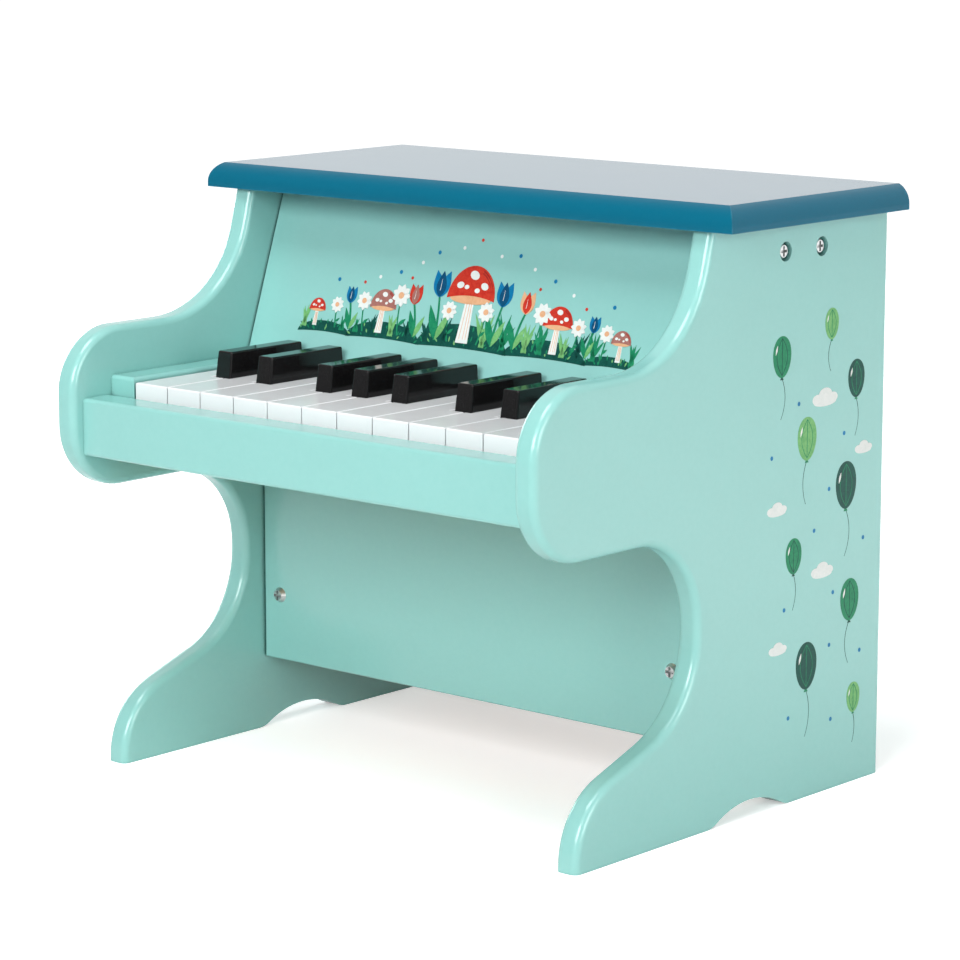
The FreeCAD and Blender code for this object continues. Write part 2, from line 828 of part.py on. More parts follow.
def kick_board():
    body = new_body("kick_board")
    half = inner - s.kick_side_gap
    sketch = new_sketch(body, "XY_Plane", s.kick_bottom)
    draw_box(sketch, (-half, kick_front), (half, kick_rear))
    board = pad(body, sketch, s.slip_bottom - s.kick_bottom)
    round_edges(body, board, s.kick_edge_round,
                lambda box: same(box.YMax, kick_front.number) and not at_height(box, s.slip_bottom))
    drill(body, "XZ_Plane", -kick_front, kick_screw_places(), board_hole, s.kick_thickness + s.overrun, False)
    return node(body, "kick_board")


def kick_screw_places():
    level = s.kick_bottom + s.kick_screw_rise
    return [((inner - s.kick_screw_inset) * side, level) for side in (-1, 1)]


def back_screw_places():
    height = lid_underside - s.kick_bottom
    across = inner - s.back_screw_inset
    levels = [s.kick_bottom + height * share for share in back_screw_shares]
    return [(across * side, level) for side in (-1, 1) for level in levels]


def back_panel():
    half = inner - s.back_edge_gap
    board = new_box("back_panel_board", (-half, back_front, s.kick_bottom),
                    (half, back_rear, lid_underside - s.back_edge_gap))
    holes = [new_cylinder("back_panel_hole", (x, back_rear, z), "-Y", board_hole, s.back_board)
             for x, z in back_screw_places()]
    return node(cut("back_panel", board, holes), "back_panel")


def bottom_board():
    half = inner - s.back_edge_gap
    board = new_box("bottom_board", (-half, kick_rear, s.kick_bottom), (half, back_front, bottom_top))
    return node(board, "bottom_board")


def cleats():
    pieces = []
    lean = tangent(s.front_panel_lean)
    across = s.front_panel_board / cosine(s.front_panel_lean)
    low_level = panel_bottom + s.cleat_end_gap
    high_level = rail_bottom - s.cleat_end_gap
    for side in (-1, 1):
        low = inner - s.cleat_width if side > 0 else -inner
        high = inner if side > 0 else s.cleat_width - inner
        body = new_body("front_cleat")
        sketch = new_sketch(body, "YZ_Plane", low)
        near_low = panel_foot + across + lean * (low_level - panel_bottom)
        near_high = panel_foot + across + lean * (high_level - panel_bottom)
        draw_corners(sketch, [(near_low, low_level), (near_low + s.cleat_depth, low_level),
                              (near_high + s.cleat_depth, high_level), (near_high, high_level)])
        pad(body, sketch, s.cleat_width)
        pieces.append(body)
        kick = new_box("kick_cleat_batten", (low, kick_rear, bottom_top),
                       (high, kick_rear + s.cleat_depth, s.slip_bottom))
        x, z = [spot for spot in kick_screw_places() if spot[0].number * side > 0][0]
        hole = new_cylinder("kick_cleat_hole", (x, kick_rear, z), "+Y", board_hole, s.cleat_depth)
        pieces.append(cut("kick_cleat", kick, [hole]))
        back = new_box("back_cleat_batten", (low, back_front - s.cleat_depth, bottom_top),
                       (high, back_front, lid_underside))
        holes = [new_cylinder("back_cleat_hole", (x, back_front, z), "-Y", board_hole, s.cleat_depth)
                 for x, z in back_screw_places() if x.number * side > 0]
        pieces.append(cut("back_cleat", back, holes))
    return node(group("case_cleats", pieces), "case_cleats")


# Keys

def lever(body, x):
    sketch = new_sketch(body, "XY_Plane", lever_bottom)
    half = s.lever_width / 2
    draw_box(sketch, (x - half, lever_front), (x + half, tail_end))
    pad(body, sketch, plate_underside - lever_bottom)


def lever_bore(body, x):
    start = x - s.lever_width / 2 - s.overrun
    drill(body, "YZ_Plane", start, [(pivot_y, pivot_z)], bore_radius, s.lever_width + s.overrun * 2, True)


def white_key(name, white, x):
    body = new_body(name)
    left = s.white_pitch * white - keys_half + s.key_gap / 2
    right = s.white_pitch * (white + 1) - keys_half - s.key_gap / 2
    low, high = narrow_edges(white)
    corners = [(left, key_front), (right, key_front), (right, notch)]
    if high.number < right.number:
        corners += [(high, notch)]
    corners += [(high, plate_rear), (low, plate_rear)]
    if low.number > left.number:
        corners += [(low, notch)]
    corners += [(left, notch)]
    plate = new_sketch(body, "XY_Plane", plate_underside)
    draw_corners(plate, corners)
    pad(body, plate, s.white_plate)
    skirt = new_sketch(body, "XY_Plane", skirt_bottom)
    wall = s.white_wall
    draw_corners(skirt, [(left, key_front), (right, key_front), (right, notch), (right - wall, notch),
                         (right - wall, key_front + wall), (left + wall, key_front + wall),
                         (left + wall, notch), (left, notch)])
    pad(body, skirt, s.white_skirt - s.white_plate)
    web = new_sketch(body, "XY_Plane", skirt_bottom)
    draw_box(web, (x - s.white_web / 2, notch - s.white_web_lap), (x + s.white_web / 2, lever_front))
    pad(body, web, s.white_skirt - s.white_plate)
    lever(body, x)
    lever_bore(body, x)
    round_edges(body, body.Tip, s.white_edge_round,
                lambda box: at_height(box, white_top) and not same(box.YMin, plate_rear.number))
    return node(body, name)


def black_key(name, x):
    body = new_body(name)
    base = s.black_width / 2
    crown = s.black_crown / 2
    back = panel_foot - s.black_rear_gap
    foot = new_sketch(body, "XY_Plane", black_foot)
    draw_box(foot, (x - base, black_front), (x + base, back))
    top = new_sketch(body, "XY_Plane", black_top)
    draw_box(top, (x - crown, black_front + s.black_front_lean), (x + crown, back - s.black_rear_lean))
    cap = body.newObject("PartDesign::AdditiveLoft", name + "_cap")
    cap.Profile = foot
    cap.Sections = [top]
    cap.Ruled = True
    lever(body, x)
    lever_bore(body, x)

    def shown(box):
        corner = same(box.ZMin, black_foot.number) and box.ZMax > white_top.number
        return at_height(box, black_top) or corner

    round_edges(body, body.Tip, s.black_edge_round, shown)
    return node(body, name)


# Hammers, in a frame of their own at the hammer axle

def hammer(name, x):
    body = new_body(name)
    start = -s.hammer_width / 2
    shank_y = -sine(s.hammer_lean)
    shank_z = cosine(s.hammer_lean)
    half = s.shank_width / 2
    tip = -s.butt_reach - s.butt_overrun
    hub = new_sketch(body, "YZ_Plane", start)
    draw_circle(hub, zero, zero, s.hub_radius)
    pad(body, hub, s.hammer_width)
    butt = new_sketch(body, "YZ_Plane", start)
    draw_corners(butt, [(tip, zero), (zero, zero), (zero, s.butt_height), (tip, s.butt_tip)])
    pad(body, butt, s.hammer_width)
    shank = new_sketch(body, "YZ_Plane", start)
    end_y = shank_y * hammer_length
    end_z = shank_z * hammer_length
    draw_corners(shank, [(-shank_z * half, shank_y * half), (shank_z * half, -shank_y * half),
                         (end_y + shank_z * half, end_z - shank_y * half),
                         (end_y - shank_z * half, end_z + shank_y * half)])
    pad(body, shank, s.hammer_width)
    head = new_sketch(body, "YZ_Plane", start)
    draw_circle(head, end_y, end_z, s.head_radius)
    pad(body, head, s.hammer_width)
    through = s.hammer_width + s.overrun * 2
    drill(body, "YZ_Plane", start - s.overrun, [(zero, zero)], bore_radius, through, True)
    place(body, x, hammer_y, hammer_z)
    return node(body, name)


# Axles, the frames that carry them, and the felts

def axles():
    rods = []
    for y, z in ((pivot_y, pivot_z), (hammer_y, hammer_z)):
        rods.append(new_cylinder("axle", (-axle_end, y, z), "+X", s.axle_radius, axle_end * 2))
    return node(group("axles", rods), "axles")


def comb(name, y, z, width, fin_front, fin_rear, base_front, base_rear, screw_row):
    """A base plate on the key bed with fins between the levers, all bored for the axle."""
    base_top = bed_top + s.frame_base
    pieces = [new_box(name + "_base", (-axle_end, base_front, bed_top), (axle_end, base_rear, base_top))]
    edges = [-axle_end]
    for x in levers:
        edges += [x - width / 2 - s.fin_clearance, x + width / 2 + s.fin_clearance]
    edges += [axle_end]
    for low, high in zip(edges[::2], edges[1::2]):
        pieces.append(new_box(name + "_fin", (low, fin_front, bed_top), (high, fin_rear, z + s.fin_rise)))
    start = (-axle_end - s.overrun, y, z)
    holes = [new_cylinder(name + "_bore", start, "+X", bore_radius, (axle_end + s.overrun) * 2)]
    for x, screw_y in screw_row:
        spot = (x, screw_y, base_top + s.overrun)
        sink = s.frame_head_height + s.screw_clearance + s.overrun
        holes.append(new_cylinder(name + "_sink", spot, "-Z", s.frame_head_radius + s.screw_clearance, sink))
        holes.append(new_cylinder(name + "_hole", spot, "-Z", frame_hole, s.frame_base + s.overrun * 2))
    return node(cut(name, fuse(name + "_blank", pieces), holes), name)


def frames():
    half_fin = s.fin_depth / 2
    key_row = frame_screw_places()[:2]
    hammer_row = frame_screw_places()[2:]
    comb("key_frame", pivot_y, pivot_z, s.lever_width, pivot_y - half_fin, pivot_y + half_fin,
         pivot_y - half_fin - s.frame_lap, pivot_y + half_fin + s.frame_lap, key_row)
    comb("hammer_frame", hammer_y, hammer_z, s.hammer_width, hammer_y - s.hub_radius, hammer_fin_rear,
         hammer_y - s.hub_radius - s.frame_lap, hammer_fin_rear, hammer_row)


def felts():
    near = key_front + s.felt_inset
    box = new_box("front_rail_felt", (-keys_half, near, bed_top),
                  (keys_half, near + s.felt_width, bed_top + s.front_felt))
    node(box, "front_rail_felt")
    far = tail_end - s.felt_inset
    box = new_box("back_rest_felt", (-keys_half, far - s.felt_width, bed_top),
                  (keys_half, far, lever_bottom - s.felt_gap))
    node(box, "back_rest_felt")


# Tone rail, tone block and rods

def tone_screw_places():
    """Between the rods of white keys that have no black key between them."""
    joints = [white for white in range(1, sizes["white_count"]) if white not in black_after]
    return [((white_lever(joint - 1) + white_lever(joint)) / 2, rod_y) for joint in joints]


def tone_rail():
    half = s.rail_depth / 2
    board = new_box("tone_rail_board", (-inner, rail_y - half, rail_bottom),
                    (inner, rail_y + half, rail_bottom + s.rail_height))
    holes = []
    for direction, end in (("+X", -inner), ("-X", inner)):
        for y in side_screw_places:
            holes.append(new_cylinder("tone_rail_hole", (end, y, rail_level), direction, side_hole,
                                      s.side_shank_length))
    for x, y in tone_screw_places():
        spot = (x, y, rail_bottom)
        holes.append(new_cylinder("tone_rail_hole", spot, "+Z", board_hole, s.board_shank_length))
    return node(cut("tone_rail", board, holes), "tone_rail")


def tone_block():
    half = s.tone_block_depth / 2
    low = levers[0] - s.tone_block_margin
    high = levers[-1] + s.tone_block_margin
    bar = new_box("tone_block_bar", (low, rod_y - half, tone_block_bottom), (high, rod_y + half, rail_bottom))
    seat = s.rod_radius + s.rod_clearance
    sink = s.board_head_radius + s.screw_clearance
    holes = []
    for x in levers:
        spot = (x, rod_y, tone_block_bottom)
        holes.append(new_cylinder("tone_block_seat", spot, "+Z", seat, s.rod_seat))
    for x, y in tone_screw_places():
        spot = (x, y, tone_block_bottom)
        holes.append(new_cylinder("tone_block_sink", spot, "+Z", sink, s.board_screw_sink))
        holes.append(new_cylinder("tone_block_hole", spot, "+Z", board_hole, s.tone_block_height))
    return node(cut("tone_block", bar, holes), "tone_block")


def tone_rods():
    top = tone_block_bottom + s.rod_seat
    rods = []
    for step, x in enumerate(levers):
        tuning_share = 2 ** (-step / (2 * sizes["octave_steps"]))
        length = s.rod_longest * tuning_share + s.rod_seat
        rods.append(new_cylinder("tone_rod", (x, rod_y, top), "-Z", s.rod_radius, length))
    return node(group("tone_rods", rods), "tone_rods")


# Screws and dowels

def side_screws():
    screws = []
    for direction, side in (("-X", 1), ("+X", -1)):
        for y in side_screw_places:
            seat = ((outer - s.side_recess_depth) * side, y, rail_level)
            screws.append(screw("side_screw", seat, direction, s.side_head_radius, s.side_head_height,
                                s.side_shank_radius, s.side_shank_length))
    return node(group("side_screws", screws), "side_screws")


def board_screws():
    kind = (s.board_head_radius, s.board_head_height, s.board_shank_radius, s.board_shank_length)
    screws = [screw("board_screw", (x, kick_front, z), "+Y", *kind) for x, z in kick_screw_places()]
    screws += [screw("board_screw", (x, back_rear, z), "-Y", *kind) for x, z in back_screw_places()]
    level = tone_block_bottom + s.board_screw_sink
    screws += [screw("board_screw", (x, y, level), "+Z", *kind) for x, y in tone_screw_places()]
    return node(group("board_screws", screws), "board_screws")


def frame_screws():
    level = bed_top + s.frame_base - s.frame_head_height
    length = s.frame_shank_length - s.frame_head_height
    screws = [screw("frame_screw", (x, y, level), "-Z", s.frame_head_radius, s.frame_head_height,
                    s.frame_shank_radius, length) for x, y in frame_screw_places()]
    return node(group("frame_screws", screws), "frame_screws")


def dowels():
    pegs = []
    for direction, side in (("+X", 1), ("-X", -1)):
        for y in lid_dowel_places:
            start = (panel_middle * side, y, lid_underside - dowel_long_end)
            pegs.append(new_cylinder("dowel", start, "+Z", s.dowel_radius, s.dowel_length))
        for y in bed_dowel_places:
            start = ((inner - dowel_long_end) * side, y, bed_middle)
            pegs.append(new_cylinder("dowel", start, direction, s.dowel_radius, s.dowel_length))
    return node(group("dowels", pegs), "dowels")


# Build

side_panel("left_side_panel", -1)
side_panel("right_side_panel", 1)
lid()
front_panel()
key_slip()
key_block("left_key_block", -1)
key_block("right_key_block", 1)
key_bed()
kick_board()
back_panel()
bottom_board()
cleats()
axles()
frames()
felts()
tone_rail()
tone_block()
tone_rods()
side_screws()
board_screws()
frame_screws()
dowels()

step = 0
for white in range(sizes["white_count"]):
    white_key("white_key_%02d" % (white + 1), white, levers[step])
    hammer("hammer_%02d" % (step + 1), levers[step])
    step += 1
    if white + 1 in black_after:
        black = black_after.index(white + 1)
        black_key("black_key_%02d" % (black + 1), levers[step])
        hammer("hammer_%02d" % (step + 1), levers[step])
        step += 1

document.recompute()

failed = [item.Name for item in document.Objects if "Invalid" in item.State or "Error" in item.State]
failed += [item.Label for item in nodes if item.Shape.isNull() or not item.Shape.isValid()]
if failed:
    raise RuntimeError("failed: " + ", ".join(failed))

os.makedirs("parts", exist_ok=True)
for item in nodes:
    item.Shape.exportStep("parts/%s.step" % item.Label)
print("%d pieces" % len(nodes))
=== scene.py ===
import json
import math
import random

import bmesh
import bpy
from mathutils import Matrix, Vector


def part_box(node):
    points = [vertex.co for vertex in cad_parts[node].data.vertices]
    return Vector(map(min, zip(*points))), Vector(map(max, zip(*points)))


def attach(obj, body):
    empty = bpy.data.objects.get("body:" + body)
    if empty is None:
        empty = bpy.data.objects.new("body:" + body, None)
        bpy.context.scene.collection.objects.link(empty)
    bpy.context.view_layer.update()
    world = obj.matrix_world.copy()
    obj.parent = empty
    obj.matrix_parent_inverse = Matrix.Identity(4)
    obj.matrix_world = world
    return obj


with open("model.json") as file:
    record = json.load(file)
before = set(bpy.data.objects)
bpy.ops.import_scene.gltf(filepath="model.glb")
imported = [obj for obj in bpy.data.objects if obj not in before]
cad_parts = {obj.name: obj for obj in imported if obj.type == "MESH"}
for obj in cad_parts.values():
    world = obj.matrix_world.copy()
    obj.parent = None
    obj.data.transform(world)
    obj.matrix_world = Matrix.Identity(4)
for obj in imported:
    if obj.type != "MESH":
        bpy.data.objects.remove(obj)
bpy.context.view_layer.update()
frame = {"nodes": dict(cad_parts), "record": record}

nodes = frame["nodes"]
print("frame loaded:", len(nodes), "nodes")

mm = 0.001


# node helpers

def newFinish(name):
    finish = bpy.data.materials.new(name)
    finish.use_nodes = True
    tree = finish.node_tree
    tree.nodes.clear()
    output = tree.nodes.new("ShaderNodeOutputMaterial")
    shader = tree.nodes.new("ShaderNodeBsdfPrincipled")
    tree.links.new(shader.outputs["BSDF"], output.inputs["Surface"])
    return finish, tree, shader


def addNode(tree, kind, inputs=None, **settings):
    node = tree.nodes.new(kind)
    for key, value in settings.items():
        setattr(node, key, value)
    for key, value in (inputs or {}).items():
        if hasattr(value, "is_output"):
            tree.links.new(value, node.inputs[key])
        else:
            node.inputs[key].default_value = value
    return node


def feed(tree, shader, base, rough, normal):
    tree.links.new(base, shader.inputs["Base Color"])
    tree.links.new(rough, shader.inputs["Roughness"])
    tree.links.new(normal, shader.inputs["Normal"])


def objectPlace(tree, stretch=(1, 1, 1)):  # metres in the piano's own frame
    coords = addNode(tree, "ShaderNodeTexCoord").outputs["Object"]
    if stretch == (1, 1, 1):
        return coords
    return addNode(tree, "ShaderNodeMapping", {"Vector": coords, "Scale": stretch}).outputs["Vector"]


def noise(tree, place, scale, detail=3.0, roughness=0.5, distortion=0.0):
    return addNode(tree, "ShaderNodeTexNoise", {
        "Vector": place, "Scale": scale, "Detail": detail, "Roughness": roughness, "Distortion": distortion,
    }).outputs["Fac"]


def spread(tree, value, low, high, fromLow=0.2, fromHigh=0.8):
    return addNode(tree, "ShaderNodeMapRange", {
        "Value": value, "From Min": fromLow, "From Max": fromHigh, "To Min": low, "To Max": high,
    }).outputs["Result"]


def maths(tree, operation, first, second):
    return addNode(tree, "ShaderNodeMath", {0: first, 1: second}, operation=operation).outputs[0]


def mixColour(tree, share, first, second):
    mixer = addNode(tree, "ShaderNodeMix", {0: share}, data_type="RGBA")
    for index, value in ((6, first), (7, second)):
        if hasattr(value, "is_output"):
            tree.links.new(value, mixer.inputs[index])
        else:
            mixer.inputs[index].default_value = (*value, 1)
    return mixer.outputs[2]


def bump(tree, height, strength, depth, normal=None):
    inputs = {"Height": height, "Strength": strength, "Distance": depth}
    if normal is not None:
        inputs["Normal"] = normal
    return addNode(tree, "ShaderNodeBump", inputs).outputs["Normal"]


def openShare(tree, reach, samples):  # 1 on open faces, towards 0 in corners and joints
    return addNode(tree, "ShaderNodeAmbientOcclusion", {"Distance": reach}, samples=samples).outputs["AO"]


def edgeShare(tree, radius, sharp=0.86, flat=0.995):  # 1 on sharp and narrow rounded edges, 0 on flat faces
    rounded = addNode(tree, "ShaderNodeBevel", {"Radius": radius}, samples=6).outputs["Normal"]
    facing = addNode(tree, "ShaderNodeNewGeometry").outputs["Normal"]
    match = addNode(tree, "ShaderNodeVectorMath", {0: rounded, 1: facing}, operation="DOT_PRODUCT")
    return spread(tree, match.outputs["Value"], 1, 0, sharp, flat)


# finishes

def boardPaint(name, look):
    finish, tree, shader = newFinish(name)
    place = objectPlace(tree)
    cloudy = spread(tree, noise(tree, place, look["cloudScale"], 3), 0, 1)
    base = mixColour(tree, cloudy, look["colour"], look["cloudColour"])
    mottle = spread(tree, noise(tree, place, look["mottleScale"], 2), 0, look["mottle"])
    base = mixColour(tree, mottle, base, look["paleAndHighlightColour"])
    # paler edges: partly paint wear, partly a painted highlight along the rounded edges
    rubs = spread(tree, noise(tree, place, look["edgeWearAndHighlightScale"], 4), 0, look["edgeWearAndHighlight"])
    wornAndHighlitEdges = maths(tree, "MULTIPLY", edgeShare(tree, look["edgeRadius"]), rubs)
    base = mixColour(tree, wornAndHighlitEdges, base, look["paleAndHighlightColour"])
    # painted shade: the paint is darkened in joints, corners and creases where the AO finds little open space
    paintedCreaseShade = spread(tree, openShare(tree, look["creaseShadeReach"], 6), 1, 0, *look["creaseShadeRange"])
    base = mixColour(tree, paintedCreaseShade, base, look["creaseShadeColour"])
    rough = spread(tree, noise(tree, place, look["roughScale"], 4), *look["roughness"])
    swell = noise(tree, place, look["swellScale"], 2, 0.4)
    normal = bump(tree, swell, look["swell"], look["swellDepth"])
    peel = noise(tree, place, look["peelScale"], 2, 0.4)
    normal = bump(tree, peel, look["peel"], look["peelDepth"], normal)
    feed(tree, shader, base, rough, normal)
    shader.inputs["Specular IOR Level"].default_value = look["gloss"]
    shader.inputs["Coat Weight"].default_value = look["coat"]
    shader.inputs["Coat IOR"].default_value = look["coatBend"]
    shader.inputs["Coat Roughness"].default_value = look["coatRoughness"]
    return finish


mintLook = {
    "colour": (0.244, 0.534, 0.500),
    "cloudColour": (0.253, 0.545, 0.512),
    # pale tone for the mottle, and for the edges, which are partly worn and partly a painted highlight
    "paleAndHighlightColour": (0.46, 0.74, 0.70),
    # colour of the painted shade in joints, corners and creases
    "creaseShadeColour": (0.045, 0.190, 0.170),
    "creaseShadeReach": 0.0025,
    "creaseShadeRange": (0.20, 0.60),
    "cloudScale": 11.0,
    "mottleScale": 420.0,
    "mottle": 0.05,
    "edgeRadius": 0.0012,
    "edgeWearAndHighlightScale": 160.0,
    "edgeWearAndHighlight": 0.25,
    "roughScale": 55.0,
    "roughness": (0.19, 0.265),
    "peelScale": 900.0,
    "peel": 0.10,
    "peelDepth": 0.0003,
    "swellScale": 90.0,
    "swell": 0.02,
    "swellDepth": 0.0008,
    "gloss": 0.5,
    "coat": 0.22,
    "coatBend": 1.5,
    "coatRoughness": 0.09,
}

tealLook = {
    "colour": (0.0, 0.110, 0.183),
    "cloudColour": (0.0, 0.115, 0.190),
    # pale tone for the mottle, and for the edges, which are partly worn and partly a painted highlight
    "paleAndHighlightColour": (0.10, 0.33, 0.42),
    # colour of the painted shade in joints, corners and creases
    "creaseShadeColour": (0.0, 0.050, 0.085),
    "creaseShadeReach": 0.0025,
    "creaseShadeRange": (0.20, 0.60),
    "cloudScale": 14.0,
    "mottleScale": 500.0,
    "mottle": 0.02,
    "edgeRadius": 0.0009,
    "edgeWearAndHighlightScale": 220.0,
    "edgeWearAndHighlight": 0.45,
    "roughScale": 70.0,
    "roughness": (0.208, 0.224),
    "peelScale": 950.0,
    "peel": 0.02,
    "peelDepth": 0.0003,
    "swellScale": 80.0,
    "swell": 0.001,
    "swellDepth": 0.0008,
    "gloss": 0.06,
    "coat": 0.66,
    "coatBend": 1.3,
    "coatRoughness": 0.12,
}


def keyPlastic(name, look):
    finish, tree, shader = newFinish(name)
    place = objectPlace(tree)
    along = objectPlace(tree, look["rubStretch"])
    cloudy = spread(tree, noise(tree, place, look["cloudScale"], 3), 0, 1)
    base = mixColour(tree, cloudy, look["colour"], look["cloudColour"])
    specks = spread(tree, noise(tree, place, look["speckScale"], 1), 0, look["specks"], *look["speckRange"])
    base = mixColour(tree, specks, base, look["speckColour"])
    smears = spread(tree, noise(tree, place, look["smearScale"], 5, 0.6), *look["roughness"])
    rubs = spread(tree, noise(tree, along, look["rubScale"], 2), 0, look["rubs"], *look["rubRange"])
    normal = bump(tree, noise(tree, place, look["swellScale"], 1), look["swell"], look["swellDepth"])
    scratches = noise(tree, along, look["scratchScale"], 2)
    normal = bump(tree, scratches, look["scratch"], look["scratchDepth"], normal)
    feed(tree, shader, base, maths(tree, "ADD", smears, rubs), normal)
    shader.inputs["Specular IOR Level"].default_value = look["gloss"]
    return finish


whiteLook = {
    "colour": (0.785, 0.795, 0.812),
    "cloudColour": (0.805, 0.812, 0.825),
    "speckColour": (0.60, 0.61, 0.62),
    "cloudScale": 40.0,
    "speckScale": 1500.0,
    "specks": 0.05,
    "speckRange": (0.62, 0.75),
    "smearScale": 60.0,
    "roughness": (0.14, 0.22),
    "rubStretch": (1, 0.05, 1),  # rubbed from front to back by fingers
    "rubScale": 700.0,
    "rubs": 0.04,
    "rubRange": (0.55, 0.8),
    "swellScale": 60.0,
    "swell": 0.06,
    "swellDepth": 0.0006,
    "scratchScale": 1400.0,
    "scratch": 0.05,
    "scratchDepth": 0.0001,
    "gloss": 0.5,
}

blackLook = {
    "colour": (0.0075, 0.0075, 0.008),
    "cloudColour": (0.0100, 0.0098, 0.0100),
    "speckColour": (0.05, 0.05, 0.05),
    "cloudScale": 60.0,
    "speckScale": 1800.0,
    "specks": 0.12,
    "speckRange": (0.62, 0.75),
    "smearScale": 80.0,
    "roughness": (0.05, 0.12),
    "rubStretch": (1, 0.05, 1),
    "rubScale": 800.0,
    "rubs": 0.05,
    "rubRange": (0.55, 0.8),
    "swellScale": 70.0,
    "swell": 0.08,
    "swellDepth": 0.0006,
    "scratchScale": 1600.0,
    "scratch": 0.08,
    "scratchDepth": 0.0001,
    "gloss": 0.28,
}


def plainMetal(name, look):
    finish, tree, shader = newFinish(name)
    place = objectPlace(tree)
    patches = spread(tree, noise(tree, place, look["patchScale"], 4), 0, 1)
    base = mixColour(tree, patches, look["colour"], look["patchColour"])
    # painted shade: the metal is darkened in recesses such as a screw's cross, from the AO
    paintedRecessShade = spread(tree, openShare(tree, look["recess"], 8), look["recessShade"], 0, *look["recessShadeRange"])
    base = mixColour(tree, paintedRecessShade, base, look["recessShadeColour"])
    rough = spread(tree, noise(tree, place, look["roughScale"], 4), *look["roughness"])
    normal = bump(tree, noise(tree, place, look["grainScale"], 3), look["grain"], look["grainDepth"])
    feed(tree, shader, base, rough, normal)
    shader.inputs["Metallic"].default_value = look["metal"]
    return finish


zincLook = {
    "colour": (0.72, 0.74, 0.74),
    "patchColour": (0.62, 0.64, 0.64),
    # colour of the painted shade in recesses such as a screw's cross
    "recessShadeColour": (0.05, 0.05, 0.05),
    "patchScale": 600.0,
    "recess": 0.0016,
    "recessShade": 0.4,
    "recessShadeRange": (0.3, 0.9),
    "roughScale": 900.0,
    "roughness": (0.22, 0.42),
    "grainScale": 1600.0,
    "grain": 0.12,
    "grainDepth": 0.0002,
    "metal": 1.0,
}

castLook = {
    "colour": (0.26, 0.26, 0.27),
    "patchColour": (0.34, 0.34, 0.35),
    # colour of the painted shade in recesses
    "recessShadeColour": (0.04, 0.04, 0.04),
    "patchScale": 120.0,
    "recess": 0.004,
    "recessShade": 0.6,
    "recessShadeRange": (0.3, 0.9),
    "roughScale": 400.0,
    "roughness": (0.45, 0.7),
    "grainScale": 900.0,
    "grain": 0.5,
    "grainDepth": 0.0002,
    "metal": 0.9,
}


def rawWood(name, look, stretch):
    finish, tree, shader = newFinish(name)
    along = objectPlace(tree, stretch)
    place = objectPlace(tree)
    rings = noise(tree, along, look["ringScale"], 3, 0.55, look["ringBend"])
    rings = maths(tree, "FRACT", maths(tree, "MULTIPLY", rings, look["rings"]), 0)
    base = mixColour(tree, spread(tree, rings, 0, 1, *look["ringRange"]), look["colour"], look["lateColour"])
    fibres = noise(tree, along, look["fibreScale"], 3, 0.6)
    base = mixColour(tree, spread(tree, fibres, 0, look["fibres"]), base, look["fibreColour"])
    blotches = spread(tree, noise(tree, place, look["blotchScale"], 2), 0, look["blotches"])
    base = mixColour(tree, blotches, base, look["lateColour"])
    rough = spread(tree, fibres, *look["roughness"])
    feed(tree, shader, base, rough, bump(tree, fibres, look["grain"], look["grainDepth"]))
    shader.inputs["Specular IOR Level"].default_value = look["gloss"]
    return finish


pineLook = {
    "colour": (0.60, 0.44, 0.26),
    "lateColour": (0.44, 0.27, 0.12),
    "fibreColour": (0.36, 0.22, 0.10),
    "ringScale": 30.0,
    "ringBend": 0.6,
    "rings": 9.0,
    "ringRange": (0.1, 0.95),
    "fibreScale": 420.0,
    "fibres": 0.35,
    "blotchScale": 14.0,
    "blotches": 0.25,
    "roughness": (0.55, 0.8),
    "grain": 0.25,
    "grainDepth": 0.0004,
    "gloss": 0.3,
}


def pressedBoard(name, look):  # hardboard with the screen pattern of the press
    finish, tree, shader = newFinish(name)
    place = objectPlace(tree)
    fibres = noise(tree, place, look["fibreScale"], 6, 0.7, 1.5)
    base = mixColour(tree, spread(tree, fibres, 0, 1), look["colour"], look["fibreColour"])
    stains = spread(tree, noise(tree, place, look["stainScale"], 3), 0, look["stains"])
    base = mixColour(tree, stains, base, look["stainColour"])
    screens = []
    for direction in ("X", "Y"):
        inputs = {"Vector": place, "Scale": look["screenScale"], "Distortion": look["screenBend"]}
        screens.append(addNode(tree, "ShaderNodeTexWave", inputs, bands_direction=direction).outputs["Fac"])
    normal = bump(tree, maths(tree, "MULTIPLY", *screens), look["screen"], look["grainDepth"])
    normal = bump(tree, fibres, look["grain"], look["grainDepth"], normal)
    feed(tree, shader, base, spread(tree, fibres, *look["roughness"]), normal)
    shader.inputs["Specular IOR Level"].default_value = look["gloss"]
    return finish


hardboardLook = {
    "colour": (0.29, 0.18, 0.10),
    "fibreColour": (0.40, 0.27, 0.16),
    "stainColour": (0.22, 0.13, 0.07),
    "fibreScale": 260.0,
    "stainScale": 18.0,
    "stains": 0.4,
    "screenScale": 160.0,
    "screenBend": 0.6,
    "screen": 0.5,
    "roughness": (0.6, 0.85),
    "grain": 0.3,
    "grainDepth": 0.0003,
    "gloss": 0.25,
}


def woolFelt(name, look):
    finish, tree, shader = newFinish(name)
    hairs = noise(tree, objectPlace(tree), look["hairScale"], 8, 0.75, 2.0)
    base = mixColour(tree, spread(tree, hairs, 0, 1), look["colour"], look["hairColour"])
    normal = bump(tree, hairs, look["nap"], look["napDepth"])
    feed(tree, shader, base, spread(tree, hairs, *look["roughness"]), normal)
    shader.inputs["Sheen Weight"].default_value = look["sheen"]
    return finish


feltLook = {
    "colour": (0.30, 0.03, 0.04),
    "hairColour": (0.46, 0.08, 0.08),
    "hairScale": 900.0,
    "roughness": (0.85, 1.0),
    "nap": 0.8,
    "napDepth": 0.0008,
    "sheen": 0.5,
}


